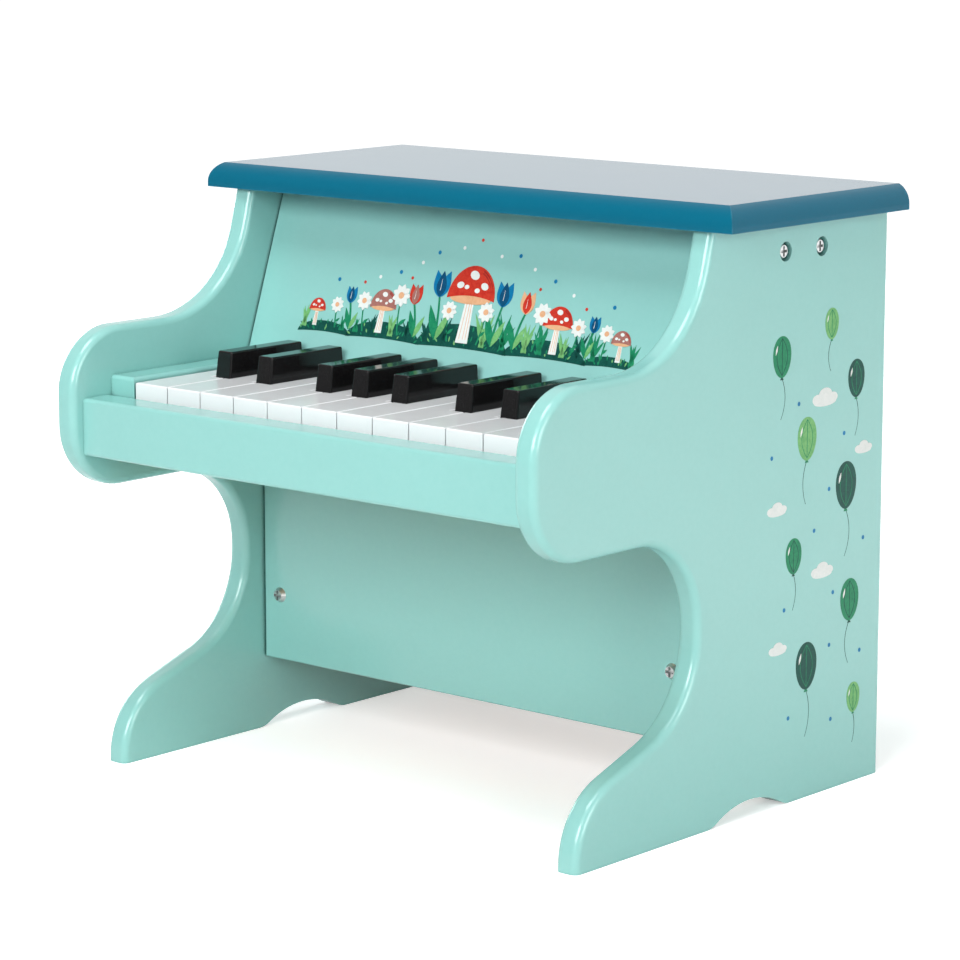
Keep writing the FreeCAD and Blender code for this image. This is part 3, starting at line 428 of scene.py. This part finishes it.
def actionPlastic(name, look):
    finish, tree, shader = newFinish(name)
    place = objectPlace(tree)
    cloudy = spread(tree, noise(tree, place, look["cloudScale"], 3), 0, 1)
    base = mixColour(tree, cloudy, look["colour"], look["cloudColour"])
    rough = spread(tree, noise(tree, place, look["roughScale"], 3), *look["roughness"])
    normal = bump(tree, noise(tree, place, look["grainScale"], 2), look["grain"], look["grainDepth"])
    feed(tree, shader, base, rough, normal)
    return finish


actionLook = {
    "colour": (0.62, 0.60, 0.54),
    "cloudColour": (0.66, 0.64, 0.58),
    "cloudScale": 45.0,
    "roughScale": 300.0,
    "roughness": (0.42, 0.55),
    "grainScale": 1400.0,
    "grain": 0.2,
    "grainDepth": 0.0002,
}

finishes = {
    "mint_paint": boardPaint("mintPaint", mintLook),
    "teal_paint": boardPaint("tealPaint", tealLook),
    "white_plastic": keyPlastic("whiteKeyPlastic", whiteLook),
    "black_plastic": keyPlastic("blackKeyPlastic", blackLook),
    "steel": plainMetal("zincPlate", zincLook),
    "cast_metal": plainMetal("castMetal", castLook),
    "raw_wood": rawWood("pineAlong", pineLook, (0.06, 1, 1)),
    "hardboard": pressedBoard("hardboard", hardboardLook),
    "felt": woolFelt("woolFelt", feltLook),
    "action_plastic": actionPlastic("actionPlastic", actionLook),
}
uprightPine = rawWood("pineUpright", pineLook, (1, 1, 0.06))

for entry in frame["record"]["subparts"]:
    piece = nodes[entry["node"]]
    piece.data.materials.clear()
    upright = entry["node"] == "case_cleats"
    piece.data.materials.append(uprightPine if upright else finishes[entry["material_slot"]])
print("finishes set on", len(nodes), "nodes")


# printed pictures: thin closed films of ink on the boards

inkLooks = {  # two tones of each ink, as mixed by the brush
    "inkPine": ((0.001, 0.040, 0.035), (0.006, 0.095, 0.070)),
    "inkMoss": ((0.004, 0.075, 0.050), (0.012, 0.130, 0.085)),
    "inkGrass": ((0.002, 0.150, 0.075), (0.020, 0.270, 0.120)),
    "inkSpring": ((0.090, 0.330, 0.110), (0.220, 0.500, 0.190)),
    "inkSky": ((0.000, 0.120, 0.290), (0.006, 0.205, 0.420)),
    "inkNavy": ((0.000, 0.045, 0.110), (0.004, 0.085, 0.190)),
    "inkRed": ((0.420, 0.014, 0.010), (0.600, 0.055, 0.030)),
    "inkRust": ((0.250, 0.012, 0.010), (0.360, 0.030, 0.022)),
    "inkClay": ((0.270, 0.105, 0.090), (0.400, 0.180, 0.150)),
    "inkPeach": ((0.620, 0.330, 0.170), (0.740, 0.440, 0.260)),
    "inkWhite": ((0.640, 0.700, 0.680), (0.760, 0.790, 0.770)),
}

filmLook = {
    "layer": 0.03,       # mm of film added by each layer
    "sunk": 0.01,        # mm of film below the paint's surface
    "brushScale": 420.0,
    "roughness": (0.30, 0.42),
    "grainScale": 1500.0,
    "grain": 0.12,
    "grainDepth": 0.0001,
    "gloss": 0.18,
}


def printInk(name, tones):
    finish, tree, shader = newFinish(name)
    place = objectPlace(tree)
    strokes = noise(tree, place, filmLook["brushScale"], 4, 0.6, 1.2)
    base = mixColour(tree, spread(tree, strokes, 0, 1), *tones)
    grain = noise(tree, place, filmLook["grainScale"], 2)
    normal = bump(tree, grain, filmLook["grain"], filmLook["grainDepth"])
    feed(tree, shader, base, spread(tree, strokes, *filmLook["roughness"]), normal)
    shader.inputs["Specular IOR Level"].default_value = filmLook["gloss"]
    return finish


inks = {name: printInk(name, tones) for name, tones in inkLooks.items()}


# outlines in mm on the board: across, up

def ring(x, y, wide, tall, turn=0.0, count=26):
    cosine, sine = math.cos(math.radians(turn)), math.sin(math.radians(turn))
    points = []
    for step in range(count):
        angle = 2 * math.pi * step / count
        a, b = wide / 2 * math.cos(angle), tall / 2 * math.sin(angle)
        points.append((x + a * cosine - b * sine, y + a * sine + b * cosine))
    return points


def blade(x, y, length, wide, turn, fullness=0.45, count=12):  # leaf or petal from its root
    ahead = Vector((math.cos(math.radians(turn)), math.sin(math.radians(turn))))
    across = Vector((-ahead.y, ahead.x))
    power = math.log(0.5) / math.log(fullness)  # the widest place lies at this share of the length
    left, right = [], []
    for step in range(count + 1):
        share = step / count
        half = wide / 2 * max(math.sin(math.pi * share ** power), 0.02)
        middle = Vector((x, y)) + ahead * length * share
        left.append(tuple(middle + across * half))
        right.append(tuple(middle - across * half))
    return left, right


def bend(x, y, endX, endY, sag, count=10):  # line with a sideways sag
    middle = ((x + endX) / 2 + sag, (y + endY) / 2)
    points = []
    for step in range(count + 1):
        share = step / count
        a, b, c = (1 - share) ** 2, 2 * share * (1 - share), share ** 2
        points.append((a * x + b * middle[0] + c * endX, a * y + b * middle[1] + c * endY))
    return points


def stroke(line, startWide, endWide):
    left, right = [], []
    for index, (x, y) in enumerate(line):
        before, after = line[max(index - 1, 0)], line[min(index + 1, len(line) - 1)]
        dx, dy = after[0] - before[0], after[1] - before[1]
        span = math.hypot(dx, dy) or 1.0
        half = (startWide + (endWide - startWide) * index / (len(line) - 1)) / 2
        left.append((x - dy / span * half, y + dx / span * half))
        right.append((x + dy / span * half, y - dx / span * half))
    return left, right


def dome(x, y, wide, tall, curl=0.0, count=22):  # rounded top on a flat or curled foot
    top, foot = [], []
    for step in range(count + 1):
        angle = math.pi * (1 - step / count)
        across = x + wide / 2 * math.cos(angle)
        top.append((across, y + max(tall * math.sin(angle), 0.05)))
        foot.append((across, y + curl * math.sin(angle) ** 2))
    return top, foot


# motifs: lists of (ink, layer, outline), with proportions as shares of the height

def tulip(x, y, tall, lean, ink, deepInk):
    topX, topY = x + lean, y + tall * 0.62
    head, wide = tall * 0.40, tall * 0.30
    shine = bend(topX - 0.3, topY + head * 0.2, topX - 0.2, topY + head * 0.6, 0.2)
    return [
        ("inkGrass", 4, stroke(bend(x, y, topX, topY, -lean * 0.5), 1.3, 0.9)),
        ("inkGrass", 5, blade(x, y, tall * 0.52, tall * 0.13, 112)),
        ("inkSpring", 5, blade(x, y, tall * 0.44, tall * 0.11, 66)),
        (ink, 6, blade(topX, topY - 0.5, head, wide * 0.62, 108, 0.42)),
        (ink, 6, blade(topX, topY - 0.5, head, wide * 0.62, 72, 0.42)),
        (deepInk, 7, blade(topX, topY - 0.3, head * 0.92, wide * 0.60, 90, 0.40)),
        ("inkWhite", 8, stroke(shine, 0.3, 0.1)),
    ]


toadstoolLook = {  # shares of the cap: across, up, size
    "spots": ((0, 0.72, 0.2), (-0.52, 0.4, 0.15), (0.5, 0.42, 0.16), (-0.24, 0.36, 0.1), (0.22, 0.28, 0.11)),
    "streaks": (-0.05, 0.01, 0.055),
    "brushMarks": (0.86, 0.93),
}


def toadstool(x, y, tall, ink, chance):
    wide, neck, cap = tall * 0.78, y + tall * 0.56, tall * 0.44
    foot, top = tall * 0.10, tall * 0.065
    shapes = [("inkWhite", 5, [(x - foot, y), (x + foot, y), (x + top, neck + 1), (x - top, neck + 1)])]
    for offset in toadstoolLook["streaks"]:
        streak = bend(x + tall * offset, y + tall * 0.05, x + tall * offset * 0.7, neck - 1, 0.2)
        shapes.append(("inkPeach", 6, stroke(streak, 0.2, 0.3)))
    shapes.append(("inkPeach", 6, ring(x, neck + 0.2, wide * 0.86, tall * 0.13)))
    shapes.append((ink, 7, dome(x, neck, wide, cap, tall * 0.05)))
    for share in toadstoolLook["brushMarks"]:  # along the cap's edge
        mark = []
        for turn in range(12, 76, 8):
            angle = math.radians(turn)
            mark.append((x + wide / 2 * share * math.cos(angle), neck + cap * share * math.sin(angle)))
        shapes.append(("inkRust", 7.5, stroke(mark, 0.15, tall * 0.022)))
    for across, up, size in toadstoolLook["spots"]:
        tilt = chance.uniform(-20, 20)
        spot = ring(x + wide / 2 * across, neck + cap * up, wide * size, tall * size * 0.57, tilt, 16)
        shapes.append(("inkWhite", 8, spot))
    return shapes


def daisy(x, y, tall, lean, chance, petals=9):
    topX, topY = x + lean, y + tall
    reach = tall * 0.20 + 1.6
    shapes = [
        ("inkGrass", 4, stroke(bend(x, y, topX, topY, lean * 0.6), 0.8, 0.5)),
        ("inkGrass", 5, blade(x + lean * 0.3, y + tall * 0.25, tall * 0.28, tall * 0.10, 40)),
    ]
    start = chance.uniform(0, 40)
    for petal in range(petals):
        turn = start + 360 * petal / petals
        shapes.append(("inkWhite", 8 + petal % 2, blade(topX, topY, reach, reach * 0.52, turn, 0.6, 8)))
    shapes.append(("inkPeach", 10, ring(topX, topY, reach * 0.62, reach * 0.58, 0, 18)))
    return shapes


def tuft(x, y, tall, blades, ink, chance):
    shapes = []
    for index in range(blades):
        offset = index - (blades - 1) / 2
        turn = 90 + offset * 70 / blades + chance.uniform(-6, 6)
        length = tall * chance.uniform(0.7, 1.0)
        shapes.append((ink, 3 + index % 2, blade(x + offset * 0.7, y, length, tall * 0.11 + 0.5, turn, 0.35)))
    return shapes


def mound(x, y, wide, tall, ink, layer, chance):
    shapes = [(ink, layer, dome(x, y, wide, tall, 0.8))]
    for fleck in range(int(wide * 0.8)):
        across = chance.uniform(-0.9, 0.9)
        up = chance.uniform(0.15, 0.85) * math.sqrt(1 - across * across)
        fleckInk = chance.choice(("inkGrass", "inkGrass", "inkSpring", "inkMoss"))
        length = chance.uniform(1.2, 2.6)
        turn = 90 - 50 * across + chance.uniform(-25, 25)
        tick = blade(x + wide / 2 * across, y + tall * up, length, 0.7, turn)
        shapes.append((fleckInk, layer + 0.5, tick))
    return shapes


def balloon(x, y, tall, sag, ink, deepInk, count=36):
    knot, collar, middle = tall * 0.07, y - tall * 0.05, y + tall * 0.5
    string = bend(x, y, x - tall * 0.02, y - tall, tall * sag)
    body = []
    for step in range(count):
        angle = 2 * math.pi * step / count
        taper = 1 - 0.16 * (1 - math.sin(angle)) / 2
        body.append((x + tall * 0.39 * taper * math.cos(angle), middle + tall * 0.5 * math.sin(angle)))
    shapes = [
        ("inkPine", 1, stroke(string, 0.35, 0.25)),
        (deepInk, 2, [(x - knot, collar), (x + knot, collar), (x, y + tall * 0.06)]),
        (ink, 3, body),
    ]
    for offset in (-0.42, 0.0, 0.42):  # gores
        gore = bend(x, y + tall * 0.06, x, y + tall * 0.94, tall * offset)
        shapes.append((deepInk, 4, stroke(gore, 0.3, 0.3)))
    shapes.append(("inkWhite", 4, blade(x - tall * 0.26, y + tall * 0.56, tall * 0.24, tall * 0.06, 72, 0.5)))
    return shapes


def cloud(x, y, wide, ink):
    shapes = []
    for across, up, size, layer in ((-0.30, 0.0, 0.42, 1), (0.02, 0.10, 0.54, 2), (0.32, 0.01, 0.40, 1)):
        puff = ring(x + wide * across, y + wide * up, wide * size, wide * size * 0.62, 0, 22)
        shapes.append((ink, layer, puff))
    shapes.append((ink, 3, ring(x, y - wide * 0.08, wide * 0.92, wide * 0.20, 0, 22)))
    return shapes


def dots(ink, size, spots):
    return [(ink, 1, ring(x, y, size, size, 0, 12)) for x, y in spots]


# films

def signedArea(outline):
    return sum(a[0] * b[1] - b[0] * a[1] for a, b in zip(outline, outline[1:] + outline[:1]))


def addFilm(shape, outline, low, high, toBoard):  # one closed film of ink, from a loop or a pair of sides
    paired = isinstance(outline, tuple)
    loop = outline[0] + outline[1][::-1] if paired else outline
    if signedArea(loop) < 0:
        loop = loop[::-1]
    under, over = [[shape.verts.new(toBoard(x, y, level)) for x, y in loop] for level in (low, high)]
    count = len(loop)
    faces = []
    for index in range(count):
        after = (index + 1) % count
        faces.append(shape.faces.new((under[index], under[after], over[after], over[index])))
    if paired:  # rungs between the two sides
        for index in range(count // 2 - 1):
            rung = (index, index + 1, count - 2 - index, count - 1 - index)
            faces.append(shape.faces.new([over[place] for place in rung]))
            faces.append(shape.faces.new([under[place] for place in reversed(rung)]))
    else:
        faces.append(shape.faces.new(over))
        faces.append(shape.faces.new(under[::-1]))
    return faces


def addPrint(name, shapes, origin, across, up, outward):
    origin, across, up, outward = (Vector(item) for item in (origin, across, up, outward))
    shape = bmesh.new()
    used = []

    def toBoard(x, y, level):
        return (origin + across * x + up * y + outward * level) * mm

    for ink, layer, outline in shapes:
        if ink not in used:
            used.append(ink)
        for face in addFilm(shape, outline, -filmLook["sunk"], filmLook["layer"] * layer, toBoard):
            face.material_index = used.index(ink)
    bmesh.ops.recalc_face_normals(shape, faces=shape.faces[:])
    mesh = bpy.data.meshes.new(name)
    shape.to_mesh(mesh)
    shape.free()
    for ink in used:
        mesh.materials.append(inks[ink])
    film = bpy.data.objects.new(name, mesh)
    bpy.context.scene.collection.objects.link(film)
    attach(film, "case")


meadowLook = {  # mm on the front panel, from the middle of its lower edge
    "seed": 11,
    "ground": 16.0,
    "mounds": ((0, 50, 11), (-44, 42, 8), (45, 44, 8.5), (-78, 30, 5.5), (79, 28, 5)),  # across, width, height
    "moundInk": "inkPine",
    "moundSunk": 3,
    "toadstools": (  # across, height, ink
        (0, 33, "inkRed"),
        (-47, 19, "inkClay"),
        (49, 20, "inkRed"),
        (-84, 12, "inkRed"),
        (83, 13, "inkClay"),
    ),
    "tulips": (  # across, height, lean, inks
        (-15, 30, -2, "inkSky", "inkNavy"),
        (16, 28, 2, "inkSky", "inkNavy"),
        (-27, 23, -3, "inkRed", "inkClay"),
        (28, 25, 3, "inkPeach", "inkRed"),
        (-64, 19, -2, "inkSky", "inkNavy"),
        (66, 18, 2, "inkSky", "inkNavy"),
    ),
    "daisies": (  # across, height, lean
        (-36, 17, -2), (38, 16, 2), (-56, 13, -2), (58, 12, 2),
        (-72, 10, -1), (74, 11, 1), (8, 14, 2), (-8, 13, -2),
    ),
    "tufts": (-90, -68, -60, -51, -40, -31, -20, -10, 11, 22, 34, 42, 54, 62, 70, 90),
    "tuftInks": ("inkGrass", "inkSpring", "inkPine"),
    "tuftTall": (9, 17),
    "tuftMiddle": 1.15,  # higher in the middle, lower towards the ends
    "tuftFade": 180,
    "tuftSunk": 1,
    "tuftBlades": 5,
    "dots": (  # ink, size, places
        ("inkWhite", 1.6, ((-30, 48), (-9, 56), (12, 54), (31, 50), (-52, 40), (54, 41))),
        ("inkSky", 1.8, ((-22, 53), (22, 55), (-41, 43), (43, 46), (-75, 37), (76, 38))),
        ("inkRed", 1.5, ((0, 60), (-60, 37), (62, 36), (-34, 41), (36, 42))),
    ),
}
frontPanelLook = {"lean": 18.8, "foot": (0, -11.484, 169.608)}


def meadow():
    chance = random.Random(meadowLook["seed"])
    ground = meadowLook["ground"]
    shapes = []
    for x in meadowLook["tufts"]:
        ink = chance.choice(meadowLook["tuftInks"])
        share = meadowLook["tuftMiddle"] - abs(x) / meadowLook["tuftFade"]
        tall = chance.uniform(*meadowLook["tuftTall"]) * share
        shapes += tuft(x, ground - meadowLook["tuftSunk"], tall, meadowLook["tuftBlades"], ink, chance)
    for x, tall, lean, ink, deepInk in meadowLook["tulips"]:
        shapes += tulip(x, ground, tall, lean, ink, deepInk)
    for x, tall, lean in meadowLook["daisies"]:
        shapes += daisy(x, ground, tall, lean, chance)
    for x, tall, ink in meadowLook["toadstools"]:
        shapes += toadstool(x, ground, tall, ink, chance)
    foot, ink = ground - meadowLook["moundSunk"], meadowLook["moundInk"]
    for index, (x, wide, tall) in enumerate(meadowLook["mounds"]):
        shapes += mound(x, foot, wide, tall, ink, 1 + index % 2, chance)
    for ink, size, spots in meadowLook["dots"]:
        shapes += dots(ink, size, spots)
    return shapes


balloonLook = {  # mm on the side panel, from the lower front
    "turnover": 215,  # the far side counts its heights down from here
    "balloons": (     # across, up, size, sag of the string, inks
        (40, 178, 17, 0.3, "inkGrass", "inkPine"),
        (74, 190, 13, -0.3, "inkSpring", "inkGrass"),
        (92, 164, 16, 0.25, "inkPine", "inkGrass"),
        (58, 142, 18, -0.25, "inkSpring", "inkGrass"),
        (86, 118, 20, 0.3, "inkPine", "inkGrass"),
        (50, 96, 15, 0.25, "inkGrass", "inkPine"),
        (90, 70, 18, -0.3, "inkGrass", "inkPine"),
        (60, 46, 20, 0.25, "inkPine", "inkGrass"),
        (94, 30, 13, 0.2, "inkSpring", "inkGrass"),
    ),
    "clouds": ((70, 166, 17), (38, 124, 13), (98, 142, 12), (70, 94, 15), (40, 66, 12)),  # across, up, width
    "cloudInk": "inkWhite",
    "dots": (
        (52, 166), (84, 150), (34, 146), (74, 128), (99, 104), (64, 112),
        (78, 84), (44, 82), (76, 62), (98, 56), (48, 36), (78, 30),
    ),
    "dotSize": 1.9,
    "dotInk": "inkSky",
}


def balloons(farSide):
    def level(y):
        return balloonLook["turnover"] - y if farSide else y

    shapes = []
    for x, y, tall, sag, ink, deepInk in balloonLook["balloons"]:
        shapes += balloon(x, level(y), tall, sag, ink, deepInk)
    for x, y, wide in balloonLook["clouds"]:
        shapes += cloud(x, level(y), wide, balloonLook["cloudInk"])
    spots = [(x, level(y)) for x, y in balloonLook["dots"]]
    return shapes + dots(balloonLook["dotInk"], balloonLook["dotSize"], spots)


lean = math.radians(frontPanelLook["lean"])
panelUp = (0, math.sin(lean), math.cos(lean))
panelOut = (0, -math.cos(lean), math.sin(lean))
addPrint("front_print", meadow(), frontPanelLook["foot"], (1, 0, 0), panelUp, panelOut)
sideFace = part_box("right_side_panel")[1].x / mm
addPrint("right_side_print", balloons(False), (sideFace, 0, 0), (0, 1, 0), (0, 0, 1), (1, 0, 0))
addPrint("left_side_print", balloons(True), (-sideFace, 0, 0), (0, 1, 0), (0, 0, 1), (-1, 0, 0))
print("prints laid on the boards")


# floor, light and camera

stageLook = {
    "floorReach": 9.0,
    "floorColour": (0.92, 0.92, 0.92),
    "floorGlow": (0.44, 1.0),        # white of the sweep, near the piano and far from it
    "floorGlowReach": (0.45, 1.8),
    "mirrorGlow": (0.35, 1.0),       # the same as seen in the paint
    "mirrorGlowReach": (0.14, 0.60),
    "roomGlow": (0.30, 1.0),         # what the paint sees of the room: dim before the piano, white behind it
    "roomReach": (-0.5, 0.3),
    "worldLight": 0.08,
    "worldColour": (1.0, 1.0, 1.0),
}


def roomShare(tree, place):
    depth = addNode(tree, "ShaderNodeSeparateXYZ", {"Vector": place}).outputs["Y"]
    return spread(tree, depth, *stageLook["roomGlow"], *stageLook["roomReach"])


def addFloor():
    shape = bmesh.new()
    bmesh.ops.create_circle(shape, cap_ends=True, segments=96, radius=stageLook["floorReach"])
    mesh = bpy.data.meshes.new("floor")
    shape.to_mesh(mesh)
    shape.free()
    floor = bpy.data.objects.new("floor", mesh)
    bpy.context.scene.collection.objects.link(floor)
    finish = bpy.data.materials.new("paleFloor")
    finish.use_nodes = True
    tree = finish.node_tree
    tree.nodes.clear()
    output = addNode(tree, "ShaderNodeOutputMaterial")
    seen = addNode(tree, "ShaderNodeLightPath").outputs
    place = objectPlace(tree)
    room = roomShare(tree, place)
    plain = maths(tree, "SUBTRACT", 1, seen["Is Glossy Ray"])
    shown = maths(tree, "MAXIMUM", plain, room)  # all of the floor, or as much as the paint sees
    colour = mixColour(tree, shown, (0, 0, 0), stageLook["floorColour"])
    flat = addNode(tree, "ShaderNodeBsdfDiffuse", {"Color": colour})
    away = addNode(tree, "ShaderNodeVectorMath", {0: place}, operation="LENGTH").outputs["Value"]
    straight = spread(tree, away, *stageLook["floorGlow"], *stageLook["floorGlowReach"])
    straight = maths(tree, "MULTIPLY", seen["Is Camera Ray"], straight)
    mirrored = spread(tree, away, *stageLook["mirrorGlow"], *stageLook["mirrorGlowReach"])
    mirrored = maths(tree, "MULTIPLY", mirrored, room)
    mirrored = maths(tree, "MULTIPLY", seen["Is Glossy Ray"], mirrored)
    glow = addNode(tree, "ShaderNodeEmission", {"Strength": maths(tree, "ADD", straight, mirrored)})
    both = addNode(tree, "ShaderNodeAddShader", {0: flat.outputs[0], 1: glow.outputs[0]})
    tree.links.new(both.outputs[0], output.inputs["Surface"])
    mesh.materials.append(finish)


def setWorld():
    world = bpy.data.worlds.new("studio")
    bpy.context.scene.world = world
    world.use_nodes = True
    tree = world.node_tree
    tree.nodes.clear()
    output = addNode(tree, "ShaderNodeOutputWorld")
    seen = addNode(tree, "ShaderNodeLightPath").outputs
    shown = maths(tree, "MAXIMUM", seen["Is Camera Ray"], seen["Is Glossy Ray"])
    shown = maths(tree, "MAXIMUM", shown, seen["Is Transmission Ray"])
    colour = (*stageLook["worldColour"], 1)
    lit = addNode(tree, "ShaderNodeBackground", {"Color": colour, "Strength": stageLook["worldLight"]})
    room = roomShare(tree, addNode(tree, "ShaderNodeTexCoord").outputs["Generated"])
    room = maths(tree, "MAXIMUM", seen["Is Camera Ray"], room)
    white = addNode(tree, "ShaderNodeBackground", {"Color": (1, 1, 1, 1), "Strength": room})
    both = addNode(tree, "ShaderNodeMixShader", {0: shown, 1: lit.outputs[0], 2: white.outputs[0]})
    tree.links.new(both.outputs[0], output.inputs["Surface"])


def placeAround(item, target, look):  # turn from the front and height above the horizon, in degrees
    turn, height = math.radians(look["turn"]), math.radians(look["height"])
    level = math.cos(height)
    back = Vector((math.sin(turn) * level, -math.cos(turn) * level, math.sin(height)))
    item.location = target + back * look["distance"]
    item.rotation_euler = (-back).to_track_quat("-Z", "Y").to_euler()
    bpy.context.scene.collection.objects.link(item)


lampAim = Vector((0, 0, 0.12))
lampLooks = {  # distance and size in metres
    "frontBox": {
        "turn": 14, "height": 25, "distance": 1.9, "size": (1.0, 0.70), "power": 24.8, "tint": (1, 1, 1),
    },
    "leftBox": {
        "turn": -104, "height": 14, "distance": 1.7, "size": (0.7, 0.6), "power": 11.0, "tint": (1, 1, 1),
    },
    "rightBox": {
        "turn": 84, "height": 15, "distance": 1.7, "size": (0.8, 0.8), "power": 11.8, "tint": (1, 0.95, 0.93),
    },
    "overheadBox": {
        "turn": 0, "height": 70, "distance": 1.6, "size": (0.9, 0.7), "power": 16.0, "tint": (1, 1, 1),
    },
    "backBox": {
        "turn": 185, "height": 10, "distance": 1.7, "size": (1.2, 0.5), "power": 13.0, "tint": (1, 1, 1),
    },
}


def addLamps():
    for name, look in lampLooks.items():
        light = bpy.data.lights.new(name, "AREA")
        light.shape = "RECTANGLE"
        light.size, light.size_y = look["size"]
        light.energy = look["power"]
        light.color = look["tint"]
        placeAround(bpy.data.objects.new(name, light), lampAim, look)


cameraLook = {
    "turn": 41.004,
    "height": 10.474,
    "distance": 1.485821,
    "target": (-0.006316, 0.013016, 0.123635),
    "lens": 131.74,
    "sensor": 36.0,
}


def addCamera():
    data = bpy.data.cameras.new("camera")
    data.lens = cameraLook["lens"]
    data.sensor_width = cameraLook["sensor"]
    camera = bpy.data.objects.new("camera", data)
    placeAround(camera, Vector(cameraLook["target"]), cameraLook)
    bpy.context.scene.camera = camera


addFloor()
setWorld()
addLamps()
addCamera()
bpy.context.scene.view_settings.view_transform = "Standard"
print("floor, light and camera set")
